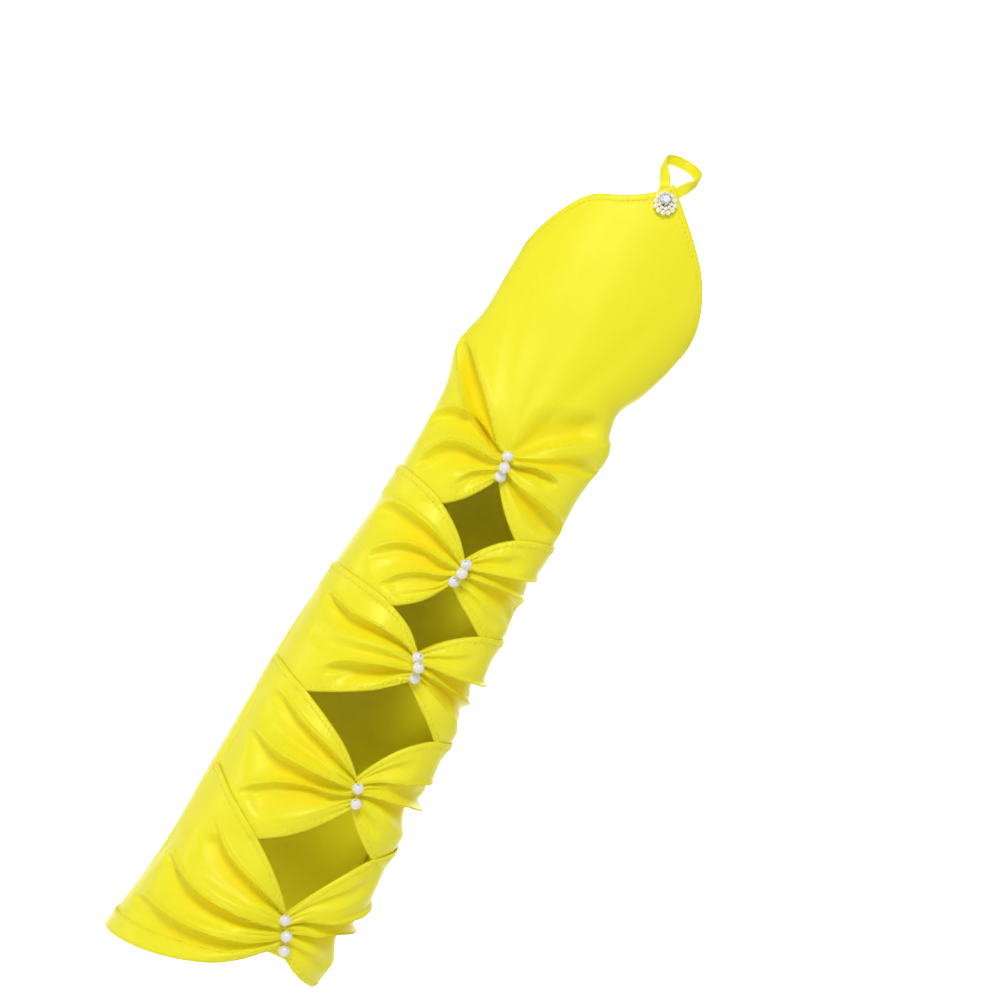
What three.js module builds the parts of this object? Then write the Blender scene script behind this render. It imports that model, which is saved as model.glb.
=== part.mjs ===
// An evening mitten: a satin sleeve of ruched bands for the left forearm, with a pointed panel over the
// back of the hand, a finger loop, a jewelled button and pearls on each gather.
//
// +Z runs up the forearm to the fingers, -Y is the back of the hand and +X is the thumb's side. The origin
// is on the arm's centre line, level with the elbow hem. Lengths are in millimetres, angles in degrees.

import * as THREE from 'three';
import { mergeVertices } from 'three/addons/utils/BufferGeometryUtils.js';

// Sleeve and hand
const sleeveLength = 268; // elbow hem to the gather at the wrist
const handLength = 150; // gather at the wrist to the point over the knuckles
const wristDrop = 102; // how far the upper edge falls from the point to the middle of the palm side
const elbowWidth = 96;
const elbowDepth = 76;
const cloth = 1.2; // turned and faced satin
const clearance = 0.35; // between pieces that touch
const seamLap = 5; // how far the back panel runs in under the bands

// Ruching
const bandHeight = 66; // cut height that the shares in the edge table refer to
const gatherHeight = 13;
const foldHeight = 3.4;
const puffHeight = 3;
const waistFold = 0.22; // share of a fold's height that is left where it is drawn in
const gatherReach = 0.3; // share of the way to a seam in which folds and puff grow to their full height
const puffEnd = { from: 0.45, to: 0.95 }; // shares of the way to a seam between which the puff dies away
const lapClimb = { from: 0.42, to: 0.6 }; // shares of a band's height between which it climbs onto the next
const lapMargin = { from: 0.04, to: 0.22 }; // shares past the covered part between which folds begin
const handFoldEnd = 0.62; // share of the hand panel's rows by which its gathered folds have died away
const rayStart = 0.42; // share of the hand panel's rows from which the long folds rise

// Trim
const pearlDiameter = 5.5;
const pearlBore = 1.2;
const buttonDiameter = 11.5;
const buttonHeight = 2.6;
const buttonBelowPoint = 8.6;
const rimWave = 0.5; // depth of the flutes round the button
const rimLobes = 12;
const stoneDiameter = 5.6;
const stoneHeight = 3;
const loopWidth = 5;
const loopThickness = 1;
const fingerDiameter = 17.5;

// Fineness of the meshes
const bandSteps = { around: 20, across: 15 };
const panelSteps = { around: 20, across: 24 };
const backSteps = { around: 9, along: 36 };
const loopSteps = 28;
const pearlSides = 10;
const pearlBands = 6;
const rimSidesPerLobe = 3;
const stoneSides = 8;
const probe = { columns: 8, pace: 0.03, rows: 20 }; // where a face is felt to set a trim on it

const colours = { satin: 0xfff020, pearl: 0xf4efe4, metal: 0xd9d9dc, crystal: 0xeef4fa };

const table = (columns, rows) =>
	rows.map((row) => Object.fromEntries(columns.map((name, i) => [name, row[i]])));

// Cross-sections of the sleeve. Station 0 is the elbow hem, 1 the gather at the wrist, 2 the point. left and
// right are shares of half the elbow's width, front and back of half its depth. turn is how far the line of
// gathers has wound towards the thumb, and the seams lie that many degrees either side of it.
const sections = table(
	['station', 'left', 'right', 'front', 'back', 'turn', 'leftSeam', 'rightSeam'],
	[
		[-0.05, 1.1, 0.89, 1.02, 1.02, 28.5, 118, 92],
		[0.05, 1.03, 0.88, 1.0, 1.0, 28, 113, 92],
		[0.15, 0.98, 0.88, 0.98, 0.98, 27.5, 104, 92],
		[0.3, 0.98, 0.87, 0.96, 0.96, 25.5, 94, 92],
		[0.4, 0.98, 0.84, 0.93, 0.94, 23.5, 92, 92],
		[0.58, 0.965, 0.82, 0.87, 0.9, 18, 94, 92],
		[0.72, 0.9, 0.78, 0.8, 0.84, 14, 96, 92],
		[0.8, 0.865, 0.76, 0.76, 0.8, 11.5, 93, 92],
		[0.9, 0.825, 0.77, 0.71, 0.74, 6.5, 89, 92],
		[1.0, 0.81, 0.76, 0.66, 0.68, 1.5, 90, 92],
		[1.14, 0.82, 0.79, 0.6, 0.62, 1.5, 92, 92],
		[1.3, 0.86, 0.69, 0.55, 0.57, 2, 92, 92],
		[1.4, 0.855, 0.82, 0.53, 0.54, 3, 92, 92],
		[1.52, 0.86, 0.93, 0.51, 0.52, 4, 92, 92],
		[1.65, 0.84, 0.965, 0.48, 0.5, 5, 92, 92],
		[1.78, 0.8, 0.91, 0.44, 0.46, 6, 92, 92],
		[1.9, 0.76, 0.85, 0.4, 0.42, 6, 92, 92],
		[2.03, 0.7, 0.8, 0.35, 0.38, 6, 92, 92],
	],
);

// The gathered pieces, from the hand to the elbow. waist is a share of the gather height, and lean is how
// many degrees the foot of a gather stands nearer to the thumb than its head.
const gathers = table(
	['piece', 'station', 'waist', 'lean'],
	[
		['hand_panel', 1.0, 1.0, 1.5],
		['ruched_band_1', 0.806, 1.0, -1.5],
		['ruched_band_2', 0.63, 1.05, 3],
		['ruched_band_3', 0.397, 1.1, 6],
		['ruched_band_4', 0.135, 1.35, 8],
	],
);

// How far a piece's edges spread between its gather and its seams, in shares of the band height. A curve of
// 1 is a straight edge, and a larger one opens sooner.
const edges = table(
	['piece', 'side', 'rise', 'riseCurve', 'drop', 'dropCurve'],
	[
		['hand_panel', 'left', 0.17, 3.5, 0.47, 3.5],
		['hand_panel', 'right', 0.17, 3.5, 0.43, 3.5],
		['ruched_band_1', 'left', 0.34, 3.8, 0.46, 3.5],
		['ruched_band_1', 'right', 0.38, 3.8, 0.37, 1.9],
		['ruched_band_2', 'left', 0.24, 4.5, 0.54, 1.7],
		['ruched_band_2', 'right', 0.35, 4.0, 0.55, 1.3],
		['ruched_band_3', 'left', 0.42, 2.0, 0.7, 2.2],
		['ruched_band_3', 'right', 0.49, 4.8, 0.35, 2.7],
		['ruched_band_4', 'left', 0.62, 1.6, 0.54, 2.8],
		['ruched_band_4', 'right', 0.72, 3.5, 0.2, 4.0],
	],
);

// Folds that fan out of a gather. at and width are shares of the piece's own height there, reach of the way
// to the seam, and height of the fold height.
const folds = table(
	['piece', 'side', 'at', 'width', 'reach', 'height'],
	[
		['hand_panel', 'left', 0.9, 0.07, 0.95, 1.0],
		['hand_panel', 'left', 0.64, 0.07, 0.85, 0.9],
		['hand_panel', 'left', 0.38, 0.07, 0.7, 0.7],
		['hand_panel', 'right', 0.85, 0.07, 0.9, 0.8],
		['hand_panel', 'right', 0.55, 0.08, 0.9, 1.0],
		['hand_panel', 'right', 0.26, 0.07, 0.7, 0.7],
		['ruched_band_1', 'left', 0.77, 0.06, 0.9, 1.0],
		['ruched_band_1', 'left', 0.57, 0.055, 0.85, 0.9],
		['ruched_band_1', 'left', 0.38, 0.055, 0.75, 0.8],
		['ruched_band_1', 'left', 0.2, 0.05, 0.6, 0.6],
		['ruched_band_1', 'right', 0.76, 0.06, 0.95, 1.0],
		['ruched_band_1', 'right', 0.52, 0.06, 0.95, 1.0],
		['ruched_band_1', 'right', 0.28, 0.06, 0.8, 0.7],
		['ruched_band_2', 'left', 0.84, 0.05, 0.7, 0.5],
		['ruched_band_2', 'left', 0.67, 0.055, 0.95, 0.9],
		['ruched_band_2', 'left', 0.5, 0.055, 0.85, 0.9],
		['ruched_band_2', 'left', 0.29, 0.06, 0.75, 0.9],
		['ruched_band_2', 'right', 0.77, 0.06, 0.95, 1.0],
		['ruched_band_2', 'right', 0.55, 0.055, 1.0, 1.2],
		['ruched_band_2', 'right', 0.36, 0.06, 0.8, 0.8],
		['ruched_band_3', 'left', 0.82, 0.055, 0.85, 0.8],
		['ruched_band_3', 'left', 0.67, 0.05, 0.9, 0.9],
		['ruched_band_3', 'left', 0.56, 0.045, 0.85, 0.7],
		['ruched_band_3', 'left', 0.4, 0.06, 0.75, 1.0],
		['ruched_band_3', 'right', 0.8, 0.06, 0.95, 1.0],
		['ruched_band_3', 'right', 0.57, 0.055, 1.0, 1.3],
		['ruched_band_3', 'right', 0.36, 0.06, 0.75, 0.8],
		['ruched_band_4', 'left', 0.8, 0.05, 0.85, 0.7],
		['ruched_band_4', 'left', 0.66, 0.05, 0.85, 0.8],
		['ruched_band_4', 'left', 0.53, 0.05, 0.9, 1.0],
		['ruched_band_4', 'left', 0.4, 0.045, 0.9, 0.8],
		['ruched_band_4', 'left', 0.27, 0.055, 0.95, 0.8],
		['ruched_band_4', 'right', 0.66, 0.06, 0.95, 1.1],
		['ruched_band_4', 'right', 0.47, 0.055, 1.0, 1.3],
		['ruched_band_4', 'right', 0.28, 0.07, 0.85, 1.0],
	],
);

// Long soft folds that climb the hand panel from its gather. heading is in degrees from straight up, and
// towards the thumb is positive. reach and width are shares of the hand's length, height of the fold height.
const handRays = table(
	['heading', 'reach', 'width', 'height'],
	[
		[-42, 0.5, 0.05, 1.1],
		[-14, 0.75, 0.05, 0.3],
		[4, 0.85, 0.06, 0.3],
		[22, 0.6, 0.05, 0.7],
		[52, 0.36, 0.05, 0.8],
	],
);

// The upper edge, as the share of the wrist drop that it has fallen at each share of the half turn from the
// point to the middle of the palm.
const upperEdge = table(
	['around', 'left', 'right'],
	[
		[0.0, 0.0, 0.0],
		[0.05, 0.07, 0.055],
		[0.15, 0.15, 0.16],
		[0.3, 0.235, 0.33],
		[0.45, 0.44, 0.56],
		[0.6, 0.66, 0.75],
		[0.8, 0.88, 0.91],
		[1.0, 1.0, 1.0],
	],
);

// Pearls, in diameters from the middle of their gather. Those that ride lie on their neighbours.
const pearls = table(
	['piece', 'side', 'up', 'rides'],
	[
		['hand_panel', 0.02, 0.79, false],
		['hand_panel', 0.05, -0.93, false],
		['hand_panel', 0.09, -0.15, true],
		['ruched_band_1', 0.15, 0.87, false],
		['ruched_band_1', -0.02, -0.83, false],
		['ruched_band_1', 0.05, 0.11, true],
		['ruched_band_2', -0.11, 0.93, false],
		['ruched_band_2', 0.2, -0.68, false],
		['ruched_band_2', 0.02, 0.27, true],
		['ruched_band_3', -0.04, 0.61, false],
		['ruched_band_3', 0.09, -0.61, false],
		['ruched_band_4', -0.33, 1.16, false],
		['ruched_band_4', 0.04, 0, false],
		['ruched_band_4', 0.22, -1.18, false],
	],
);

// The finger loop's centre line: degrees round the finger from its back, and the rise above the point in
// finger diameters. Its two ends lie under the hand panel.
const loopPath = table(
	['around', 'rise'],
	[
		[-9, -0.5],
		[-15, -0.28],
		[-24, -0.06],
		[-46, 0.18],
		[-76, 0.4],
		[-112, 0.58],
		[-146, 0.69],
		[-180, 0.73],
		[-214, 0.69],
		[-248, 0.57],
		[-284, 0.38],
		[-314, 0.16],
		[-334, -0.07],
		[-344, -0.28],
		[-350, -0.5],
	],
);

const { lerp, degToRad, radToDeg } = THREE.MathUtils;
const smoothstep = (x, from, to) => THREE.MathUtils.smoothstep(x, from, to);

// One column of a table at a place between its rows, on a smooth curve through them.
function along(rows, key, column, at) {
	const last = rows.length - 1;
	let i = 0;
	while (i < last - 1 && rows[i + 1][key] < at) i++;
	const slope = (k) => {
		const a = rows[Math.max(k - 1, 0)];
		const b = rows[Math.min(k + 1, last)];
		return (b[column] - a[column]) / (b[key] - a[key]);
	};
	const span = rows[i + 1][key] - rows[i][key];
	const t = THREE.MathUtils.clamp((at - rows[i][key]) / span, 0, 1);
	const t2 = t * t;
	const t3 = t2 * t;
	return (
		(2 * t3 - 3 * t2 + 1) * rows[i][column] +
		(t3 - 2 * t2 + t) * span * slope(i) +
		(3 * t2 - 2 * t3) * rows[i + 1][column] +
		(t3 - t2) * span * slope(i + 1)
	);
}

const pointHeight = sleeveLength + handLength;
const heightOf = (station) =>
	station <= 1 ? station * sleeveLength : sleeveLength + (station - 1) * handLength;
const stationOf = (height) =>
	height <= sleeveLength ? height / sleeveLength : 1 + (height - sleeveLength) / handLength;
const section = (height, column) => along(sections, 'station', column, stationOf(height));
const sideOf = (u) => (u < 0 ? 'left' : 'right');

// The point at an angle round the arm from the back of the hand, raised off the sleeve's inner form by lift.
function sleevePoint(angle, height, lift) {
	const s = Math.sin(degToRad(angle));
	const c = Math.cos(degToRad(angle));
	const halfWidth = (elbowWidth / 2) * section(height, s < 0 ? 'left' : 'right');
	const halfDepth = (elbowDepth / 2) * section(height, c < 0 ? 'back' : 'front');
	const outward = new THREE.Vector3(s / halfWidth, -c / halfDepth, 0).normalize();
	return new THREE.Vector3(halfWidth * s, -halfDepth * c, height).addScaledVector(outward, lift);
}

// u is 0 on the line of gathers, -1 on the left seam and 1 on the right one.
const angleOf = (u, height) =>
	section(height, 'turn') + u * section(height, u < 0 ? 'leftSeam' : 'rightSeam');

// Height of the upper edge at an angle round the hand.
function upperEdgeHeight(angle) {
	const turned = THREE.MathUtils.euclideanModulo(angle - pointAngle + 180, 360) - 180;
	const fallen = along(upperEdge, 'around', turned < 0 ? 'left' : 'right', Math.abs(turned) / 180);
	return pointHeight - wristDrop * fallen;
}
const pointAngle = section(pointHeight, 'turn');

// A closed wall of cloth: a thin box whose faces are carried to place(s, t, lift) for s in -1..1, t in 0..1.
function clothWall(steps, rows, place) {
	const box = new THREE.BoxGeometry(2, 1, 1, steps, rows, 1);
	const position = box.getAttribute('position');
	for (let i = 0; i < position.count; i++) {
		const outer = position.getZ(i) > 0;
		const p = place(position.getX(i), position.getY(i) + 0.5, outer ? cloth : 0);
		position.setXYZ(i, p.x, p.y, p.z);
	}
	return closed(box);
}

function closed(geometry) {
	geometry.deleteAttribute('uv');
	geometry.deleteAttribute('normal');
	const merged = mergeVertices(geometry, 1e-3);
	merged.computeVertexNormals();
	return merged;
}

// The two edges of a gathered piece at u: from the waist of its gather they spread towards the seams.
function spread(gather, u) {
	const edge = edges.find((row) => row.piece === gather.piece && row.side === sideOf(u));
	const tie = heightOf(gather.station);
	const halfWaist = (gatherHeight * gather.waist) / 2;
	const opened = (curve) => 1 - (1 - Math.min(Math.abs(u), 1)) ** curve;
	return {
		top: tie + halfWaist + bandHeight * edge.rise * opened(edge.riseCurve),
		bottom: tie - halfWaist - bandHeight * edge.drop * opened(edge.dropCurve),
	};
}

// The share of a gathered piece that the top of the next one covers at u.
function coveredShare(gather, u) {
	const next = gathers[gathers.indexOf(gather) + 1];
	if (!next) return -1;
	const { top, bottom } = spread(gather, u);
	return (spread(next, u).top - bottom) / (top - bottom);
}

// How high the folds of a gathered piece stand at u, for v from its lower edge, 0, to its upper edge, 1.
// Where the next piece lies over it, it is flat.
function foldLift(gather, u, v) {
	const out = Math.abs(u);
	const covered = coveredShare(gather, u);
	const bare = smoothstep(v, covered + lapMargin.from, covered + lapMargin.to);
	let lift = 0;
	for (const fold of folds) {
		if (fold.piece !== gather.piece || fold.side !== sideOf(u)) continue;
		const swell = lerp(waistFold, 1, smoothstep(out, 0, gatherReach));
		const fade = 1 - smoothstep(out, 0.55 * fold.reach, fold.reach);
		lift += fold.height * swell * fade * Math.exp(-(((v - fold.at) / fold.width) ** 2));
	}
	return foldHeight * lift * bare;
}

// The bands lap like shingles: each one's upper half lies over the lower half of the one above it.
const lapLift = cloth + clearance;
const shingle = (v) => lapLift * smoothstep(v, lapClimb.from, lapClimb.to);

// The wings of a gathered piece stand off the arm between the tight gather and the flat seams.
const puff = (u) => {
	const out = Math.min(Math.abs(u), 1);
	return puffHeight * smoothstep(out, 0, gatherReach) * (1 - smoothstep(out, puffEnd.from, puffEnd.to));
};

const leaning = (gather, u, v) => -gather.lean * (v - 0.5) * (1 - Math.min(Math.abs(u), 1)) ** 6;

// Steps are closer together near the gather.
const towardsGather = (s) => Math.sign(s) * Math.abs(s) ** 1.35;

function bandPlace(gather) {
	return (s, v, lift) => {
		const u = towardsGather(s);
		const { top, bottom } = spread(gather, u);
		const height = lerp(bottom, top, v);
		const angle = angleOf(u, height) + leaning(gather, u, v);
		return sleevePoint(angle, height, puff(u) + shingle(v) + foldLift(gather, u, v) + lift);
	};
}

// Above its gathered part the hand panel runs on up to the point and to the upper edge.
const gatheredShare = 0.5; // of the panel's rows
function rayLift(arc, rise) {
	let lift = 0;
	for (const ray of handRays) {
		const heading = degToRad(ray.heading);
		const forward = rise * Math.cos(heading) + arc * Math.sin(heading);
		const aside = arc * Math.cos(heading) - rise * Math.sin(heading);
		if (forward <= 0) continue;
		const reach = ray.reach * handLength;
		const width = ray.width * handLength * (0.35 + forward / reach);
		const swell = smoothstep(forward, 0, 0.25 * reach) * (1 - smoothstep(forward, 0.5 * reach, reach));
		lift += ray.height * swell * Math.exp(-((aside / width) ** 2));
	}
	return foldHeight * lift;
}

function handPlace(gather) {
	const tie = heightOf(gather.station);
	return (s, t, lift) => {
		const u = towardsGather(s);
		const { top, bottom } = spread(gather, u);
		const v = Math.min(t / gatheredShare, 1);
		const gathered = lerp(bottom, top, v);
		const seamHeight = upperEdgeHeight(angleOf(u, pointHeight - wristDrop / 2));
		const height = lerp(gathered, seamHeight, Math.max((t - gatheredShare) / (1 - gatheredShare), 0));
		const angle = angleOf(u, height) + leaning(gather, u, v);
		const arc = degToRad(angle) * (elbowWidth / 2) * section(height, angle < 0 ? 'left' : 'right');
		const folded = foldLift(gather, u, v) * (1 - smoothstep(t, gatheredShare, handFoldEnd));
		const rayed = rayLift(arc, height - tie) * smoothstep(t, rayStart, gatheredShare);
		return sleevePoint(angle, height, puff(u) + folded + rayed + lift);
	};
}

// The plain panel under the arm, from the right seam round to the left one. Its first and last columns are
// the margins that lie inside the bands.
function backPlace() {
	const under = -(cloth + 2 * clearance);
	const lap = radToDeg(seamLap / (elbowWidth / 2));
	const elbowBand = gathers[gathers.length - 1];
	const right = spread(elbowBand, 1).bottom;
	const left = spread(elbowBand, -1).bottom;
	const columns = backSteps.around;
	return (s, t, lift) => {
		const column = ((1 + s) / 2) * columns;
		const share = THREE.MathUtils.clamp((column - 1) / (columns - 2), 0, 1);
		const tucked = lap * (Math.max(column - columns + 1, 0) - Math.max(1 - column, 0));
		const angle = (height) =>
			lerp(angleOf(1, height), angleOf(-1, height) + 360, share) + tucked;
		const hem = lerp(right, left, smoothstep(share, 0, 1));
		const rim = upperEdgeHeight(angle(pointHeight - wristDrop));
		const height = lerp(hem, rim, t);
		return sleevePoint(angle(height), height, under + lift);
	};
}

function mesh(name, geometry, colour, roughness, metalness = 0) {
	const material = new THREE.MeshStandardMaterial({ color: colour, roughness, metalness });
	const made = new THREE.Mesh(geometry, material);
	made.name = name;
	return made;
}

const satin = (name, geometry) => mesh(name, geometry, colours.satin, 0.4);

// Points of a cloth piece's outer face round its middle column, from row v - span to row v + span.
function facePoints(place, v, span) {
	const points = [];
	for (let i = -probe.columns; i <= probe.columns; i++) {
		for (let j = -probe.rows; j <= probe.rows; j++) {
			const row = THREE.MathUtils.clamp(v + (j / probe.rows) * span, 0, 1);
			points.push(place(i * probe.pace, row, cloth));
		}
	}
	return points;
}

// How far out the middle of a ball has to lie to rest on a cloth piece at a row of its middle column.
function seat(place, v, radius) {
	const foot = place(0, v, cloth);
	const out = place(0, v, cloth + 1).sub(foot);
	const reach = radius + clearance;
	let needed = 0;
	for (const point of facePoints(place, v, 0.5)) {
		const near = point.sub(foot);
		const outward = near.dot(out);
		const aside = near.addScaledVector(out, -outward).length();
		if (aside < reach) needed = Math.max(needed, outward + Math.sqrt(reach ** 2 - aside ** 2));
	}
	return { foot, out, needed };
}

// A pearl with a bore for its thread, lying along the gather.
function pearlGeometry() {
	const radius = pearlDiameter / 2;
	const mouth = Math.acos(pearlBore / 2 / radius);
	const profile = [];
	for (let i = 0; i <= pearlBands; i++) {
		const a = lerp(-mouth, mouth, i / pearlBands);
		profile.push(new THREE.Vector2(radius * Math.cos(a), radius * Math.sin(a)));
	}
	profile.push(profile[0].clone());
	return closed(new THREE.LatheGeometry(profile, pearlSides));
}

// How far a pearl at this place has to move along out to lie on the ones that are there already.
function rideOver(resting, place, out) {
	const reach = pearlDiameter + clearance;
	const rises = resting.map((pearl) => {
		const apart = pearl.clone().sub(place);
		const forward = apart.dot(out);
		const aside = apart.addScaledVector(out, -forward).length();
		return aside < reach ? forward + Math.sqrt(reach ** 2 - aside ** 2) : 0;
	});
	return Math.max(0, ...rises);
}

function addPearls(group, gather, place) {
	const tie = heightOf(gather.station);
	const own = pearls.filter((row) => row.piece === gather.piece);
	const gathered = gather.piece === 'hand_panel' ? gatheredShare : 1;
	const placed = [];
	own.forEach((row, i) => {
		const rise = row.up * pearlDiameter;
		const v = THREE.MathUtils.clamp(0.5 + rise / (gatherHeight * gather.waist), 0.02, 0.98);
		const { foot, out, needed } = seat(place, v * gathered, pearlDiameter / 2);
		const thumbwards = new THREE.Vector3(0, 0, 1).cross(out).normalize();
		const centre = foot.addScaledVector(out, needed).addScaledVector(thumbwards, row.side * pearlDiameter);
		centre.z = tie + rise;
		if (row.rides) centre.addScaledVector(out, rideOver(placed, centre, out));
		placed.push(centre);
		const pearl = mesh(`pearl_${gathers.indexOf(gather) + 1}_${i + 1}`, pearlGeometry(), colours.pearl, 0.25);
		pearl.position.copy(centre);
		pearl.rotation.x = Math.PI / 2;
		group.add(pearl);
	});
}

// The button's cast setting: a fluted rim round a cup that holds the stone.
function settingGeometry() {
	const radius = buttonDiameter / 2;
	const cup = stoneDiameter / 2 + clearance;
	const floor = buttonHeight - stoneHeight * 0.45 - clearance;
	const profile = [
		[0, 0],
		[radius * 0.86, 0],
		[radius, buttonHeight * 0.35],
		[radius * 0.9, buttonHeight * 0.72],
		[cup + 0.9, buttonHeight * 0.8],
		[cup + 0.45, buttonHeight],
		[cup, buttonHeight],
		[cup, floor + 0.4],
		[cup * 0.5, floor],
		[0, floor],
	].map(([x, y]) => new THREE.Vector2(x, y));
	const made = new THREE.LatheGeometry(profile, rimLobes * rimSidesPerLobe);
	const position = made.getAttribute('position');
	for (let i = 0; i < position.count; i++) {
		const x = position.getX(i);
		const z = position.getZ(i);
		const r = Math.hypot(x, z);
		const fluted = smoothstep(r, cup + 0.5, radius);
		const flute = (rimWave / 2) * (Math.cos(Math.atan2(x, z) * rimLobes) - 1) * fluted;
		const scale = r > 0 ? (r + flute) / r : 1;
		position.setXYZ(i, x * scale, position.getY(i), z * scale);
	}
	return closed(made);
}

// A brilliant with a table, a crown and a point below.
function stoneGeometry() {
	const girdle = stoneDiameter / 2;
	const profile = [
		[0, 0],
		[girdle * 0.5, stoneHeight * 0.22],
		[girdle, stoneHeight * 0.58],
		[girdle, stoneHeight * 0.64],
		[girdle * 0.58, stoneHeight],
		[0, stoneHeight],
	].map(([x, y]) => new THREE.Vector2(x, y));
	return closed(new THREE.LatheGeometry(profile, stoneSides));
}

function addButton(group, place) {
	const smoothHeight = pointHeight - spread(gathers[0], 0).top;
	const t = 1 - (1 - gatheredShare) * (buttonBelowPoint / smoothHeight);
	const foot = place(0, t, cloth);
	const up = place(0, t + 0.02, cloth).sub(place(0, t - 0.02, cloth));
	const across = place(0.05, t, cloth).sub(place(-0.05, t, cloth));
	const out = across.cross(up).normalize();
	let raised = 0;
	for (const point of facePoints(place, t, 0.1)) {
		const near = point.sub(foot);
		const outward = near.dot(out);
		const aside = near.addScaledVector(out, -outward).length();
		if (aside < buttonDiameter / 2) raised = Math.max(raised, outward);
	}
	const button = new THREE.Group();
	button.position.copy(foot).addScaledVector(out, raised + clearance);
	button.quaternion.setFromUnitVectors(new THREE.Vector3(0, 1, 0), out);
	const stone = mesh('button_stone', stoneGeometry(), colours.crystal, 0.05);
	stone.position.y = buttonHeight - stoneHeight * 0.45;
	button.add(mesh('button_setting', settingGeometry(), colours.metal, 0.25, 1), stone);
	group.add(button);
}

// The loop is a flat strap that stands on its edge round the finger.
function loopGeometry() {
	const radius = fingerDiameter / 2 + loopThickness / 2;
	const tuck = clearance + loopThickness / 2;
	const tip = sleevePoint(pointAngle, pointHeight, -tuck);
	const finger = new THREE.Vector3(tip.x, tip.y + radius, 0);
	const points = loopPath.map(({ around, rise }) => {
		const a = degToRad(around);
		const height = pointHeight + rise * fingerDiameter;
		const round = new THREE.Vector3(finger.x + radius * Math.sin(a), finger.y - radius * Math.cos(a), height);
		if (rise > 0) return round;
		const angle = radToDeg(Math.asin(round.x / ((elbowWidth / 2) * section(height, 'right'))));
		return sleevePoint(angle, height, -tuck);
	});
	const curve = new THREE.CatmullRomCurve3(points, false, 'centripetal');
	const strap = new THREE.BoxGeometry(1, loopWidth, loopThickness, loopSteps, 1, 1);
	const position = strap.getAttribute('position');
	for (let i = 0; i < position.count; i++) {
		const share = position.getX(i) + 0.5;
		const middle = curve.getPointAt(share);
		const tangent = curve.getTangentAt(share);
		const free = smoothstep(middle.z, pointHeight, pointHeight + 0.25 * fingerDiameter);
		const round = new THREE.Vector3(middle.x - finger.x, middle.y - finger.y, 0).normalize();
		const outward = new THREE.Vector3(0, -1, 0).lerp(round, free).normalize();
		const across = outward.clone().cross(tangent).normalize();
		outward.crossVectors(tangent, across).normalize();
		middle.addScaledVector(across, position.getY(i)).addScaledVector(outward, position.getZ(i));
		position.setXYZ(i, middle.x, middle.y, middle.z);
	}
	return closed(strap);
}

function mitten() {
	const group = new THREE.Group();
	for (const gather of gathers) {
		const isHand = gather.piece === 'hand_panel';
		const place = isHand ? handPlace(gather) : bandPlace(gather);
		const { around, across } = isHand ? panelSteps : bandSteps;
		group.add(satin(gather.piece, clothWall(around, across, place)));
		addPearls(group, gather, place);
		if (isHand) addButton(group, place);
	}
	group.add(satin('back_panel', clothWall(backSteps.around, backSteps.along, backPlace())));
	group.add(satin('finger_loop', loopGeometry()));
	return group;
}

export default mitten();
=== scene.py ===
"""An evening mitten of lemon satin, with ruched bands, a pointed hand panel, pearls and a jewelled button.

It is laid out as an add-on. Run as a script, it registers its operators, and they build the mitten's pieces
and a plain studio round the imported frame. The sleeve's tables and functions are in millimetres and degrees.
The property groups, the cut sizes, the button, the studio and the camera are in metres. Left and right are
as seen from the front.
"""

import math
from collections import namedtuple

import bpy
import numpy as np
from mathutils import Matrix, Vector


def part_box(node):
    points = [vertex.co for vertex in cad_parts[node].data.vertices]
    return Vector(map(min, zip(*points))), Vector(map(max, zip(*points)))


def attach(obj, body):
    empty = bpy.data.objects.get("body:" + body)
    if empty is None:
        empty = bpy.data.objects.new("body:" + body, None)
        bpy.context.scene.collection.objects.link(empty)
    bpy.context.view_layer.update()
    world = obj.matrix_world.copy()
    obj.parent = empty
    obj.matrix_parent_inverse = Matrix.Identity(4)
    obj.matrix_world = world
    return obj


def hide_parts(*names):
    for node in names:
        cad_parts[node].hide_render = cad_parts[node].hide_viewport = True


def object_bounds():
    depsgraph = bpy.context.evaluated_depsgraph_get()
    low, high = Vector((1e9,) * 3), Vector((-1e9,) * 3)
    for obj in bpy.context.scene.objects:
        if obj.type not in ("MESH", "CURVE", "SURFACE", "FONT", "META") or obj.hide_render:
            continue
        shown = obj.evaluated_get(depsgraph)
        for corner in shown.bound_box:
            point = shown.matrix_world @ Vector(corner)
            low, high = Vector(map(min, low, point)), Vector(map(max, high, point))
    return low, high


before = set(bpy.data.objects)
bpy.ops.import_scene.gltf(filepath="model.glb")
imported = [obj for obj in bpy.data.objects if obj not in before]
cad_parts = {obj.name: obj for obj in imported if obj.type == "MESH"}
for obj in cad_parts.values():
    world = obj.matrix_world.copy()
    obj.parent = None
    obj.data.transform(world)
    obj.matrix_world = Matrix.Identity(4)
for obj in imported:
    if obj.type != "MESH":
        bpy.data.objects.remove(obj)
cad_bounds = [list(corner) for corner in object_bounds()]

bl_info = {
    "name": "Evening mitten",
    "version": (1, 0, 0),
    "blender": (4, 5, 0),
    "location": "View3D > Sidebar > Mitten",
    "description": "Builds a ruched satin evening mitten with pearls and a jewelled button",
    "category": "Add Mesh",
}

MM = 0.001

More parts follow.
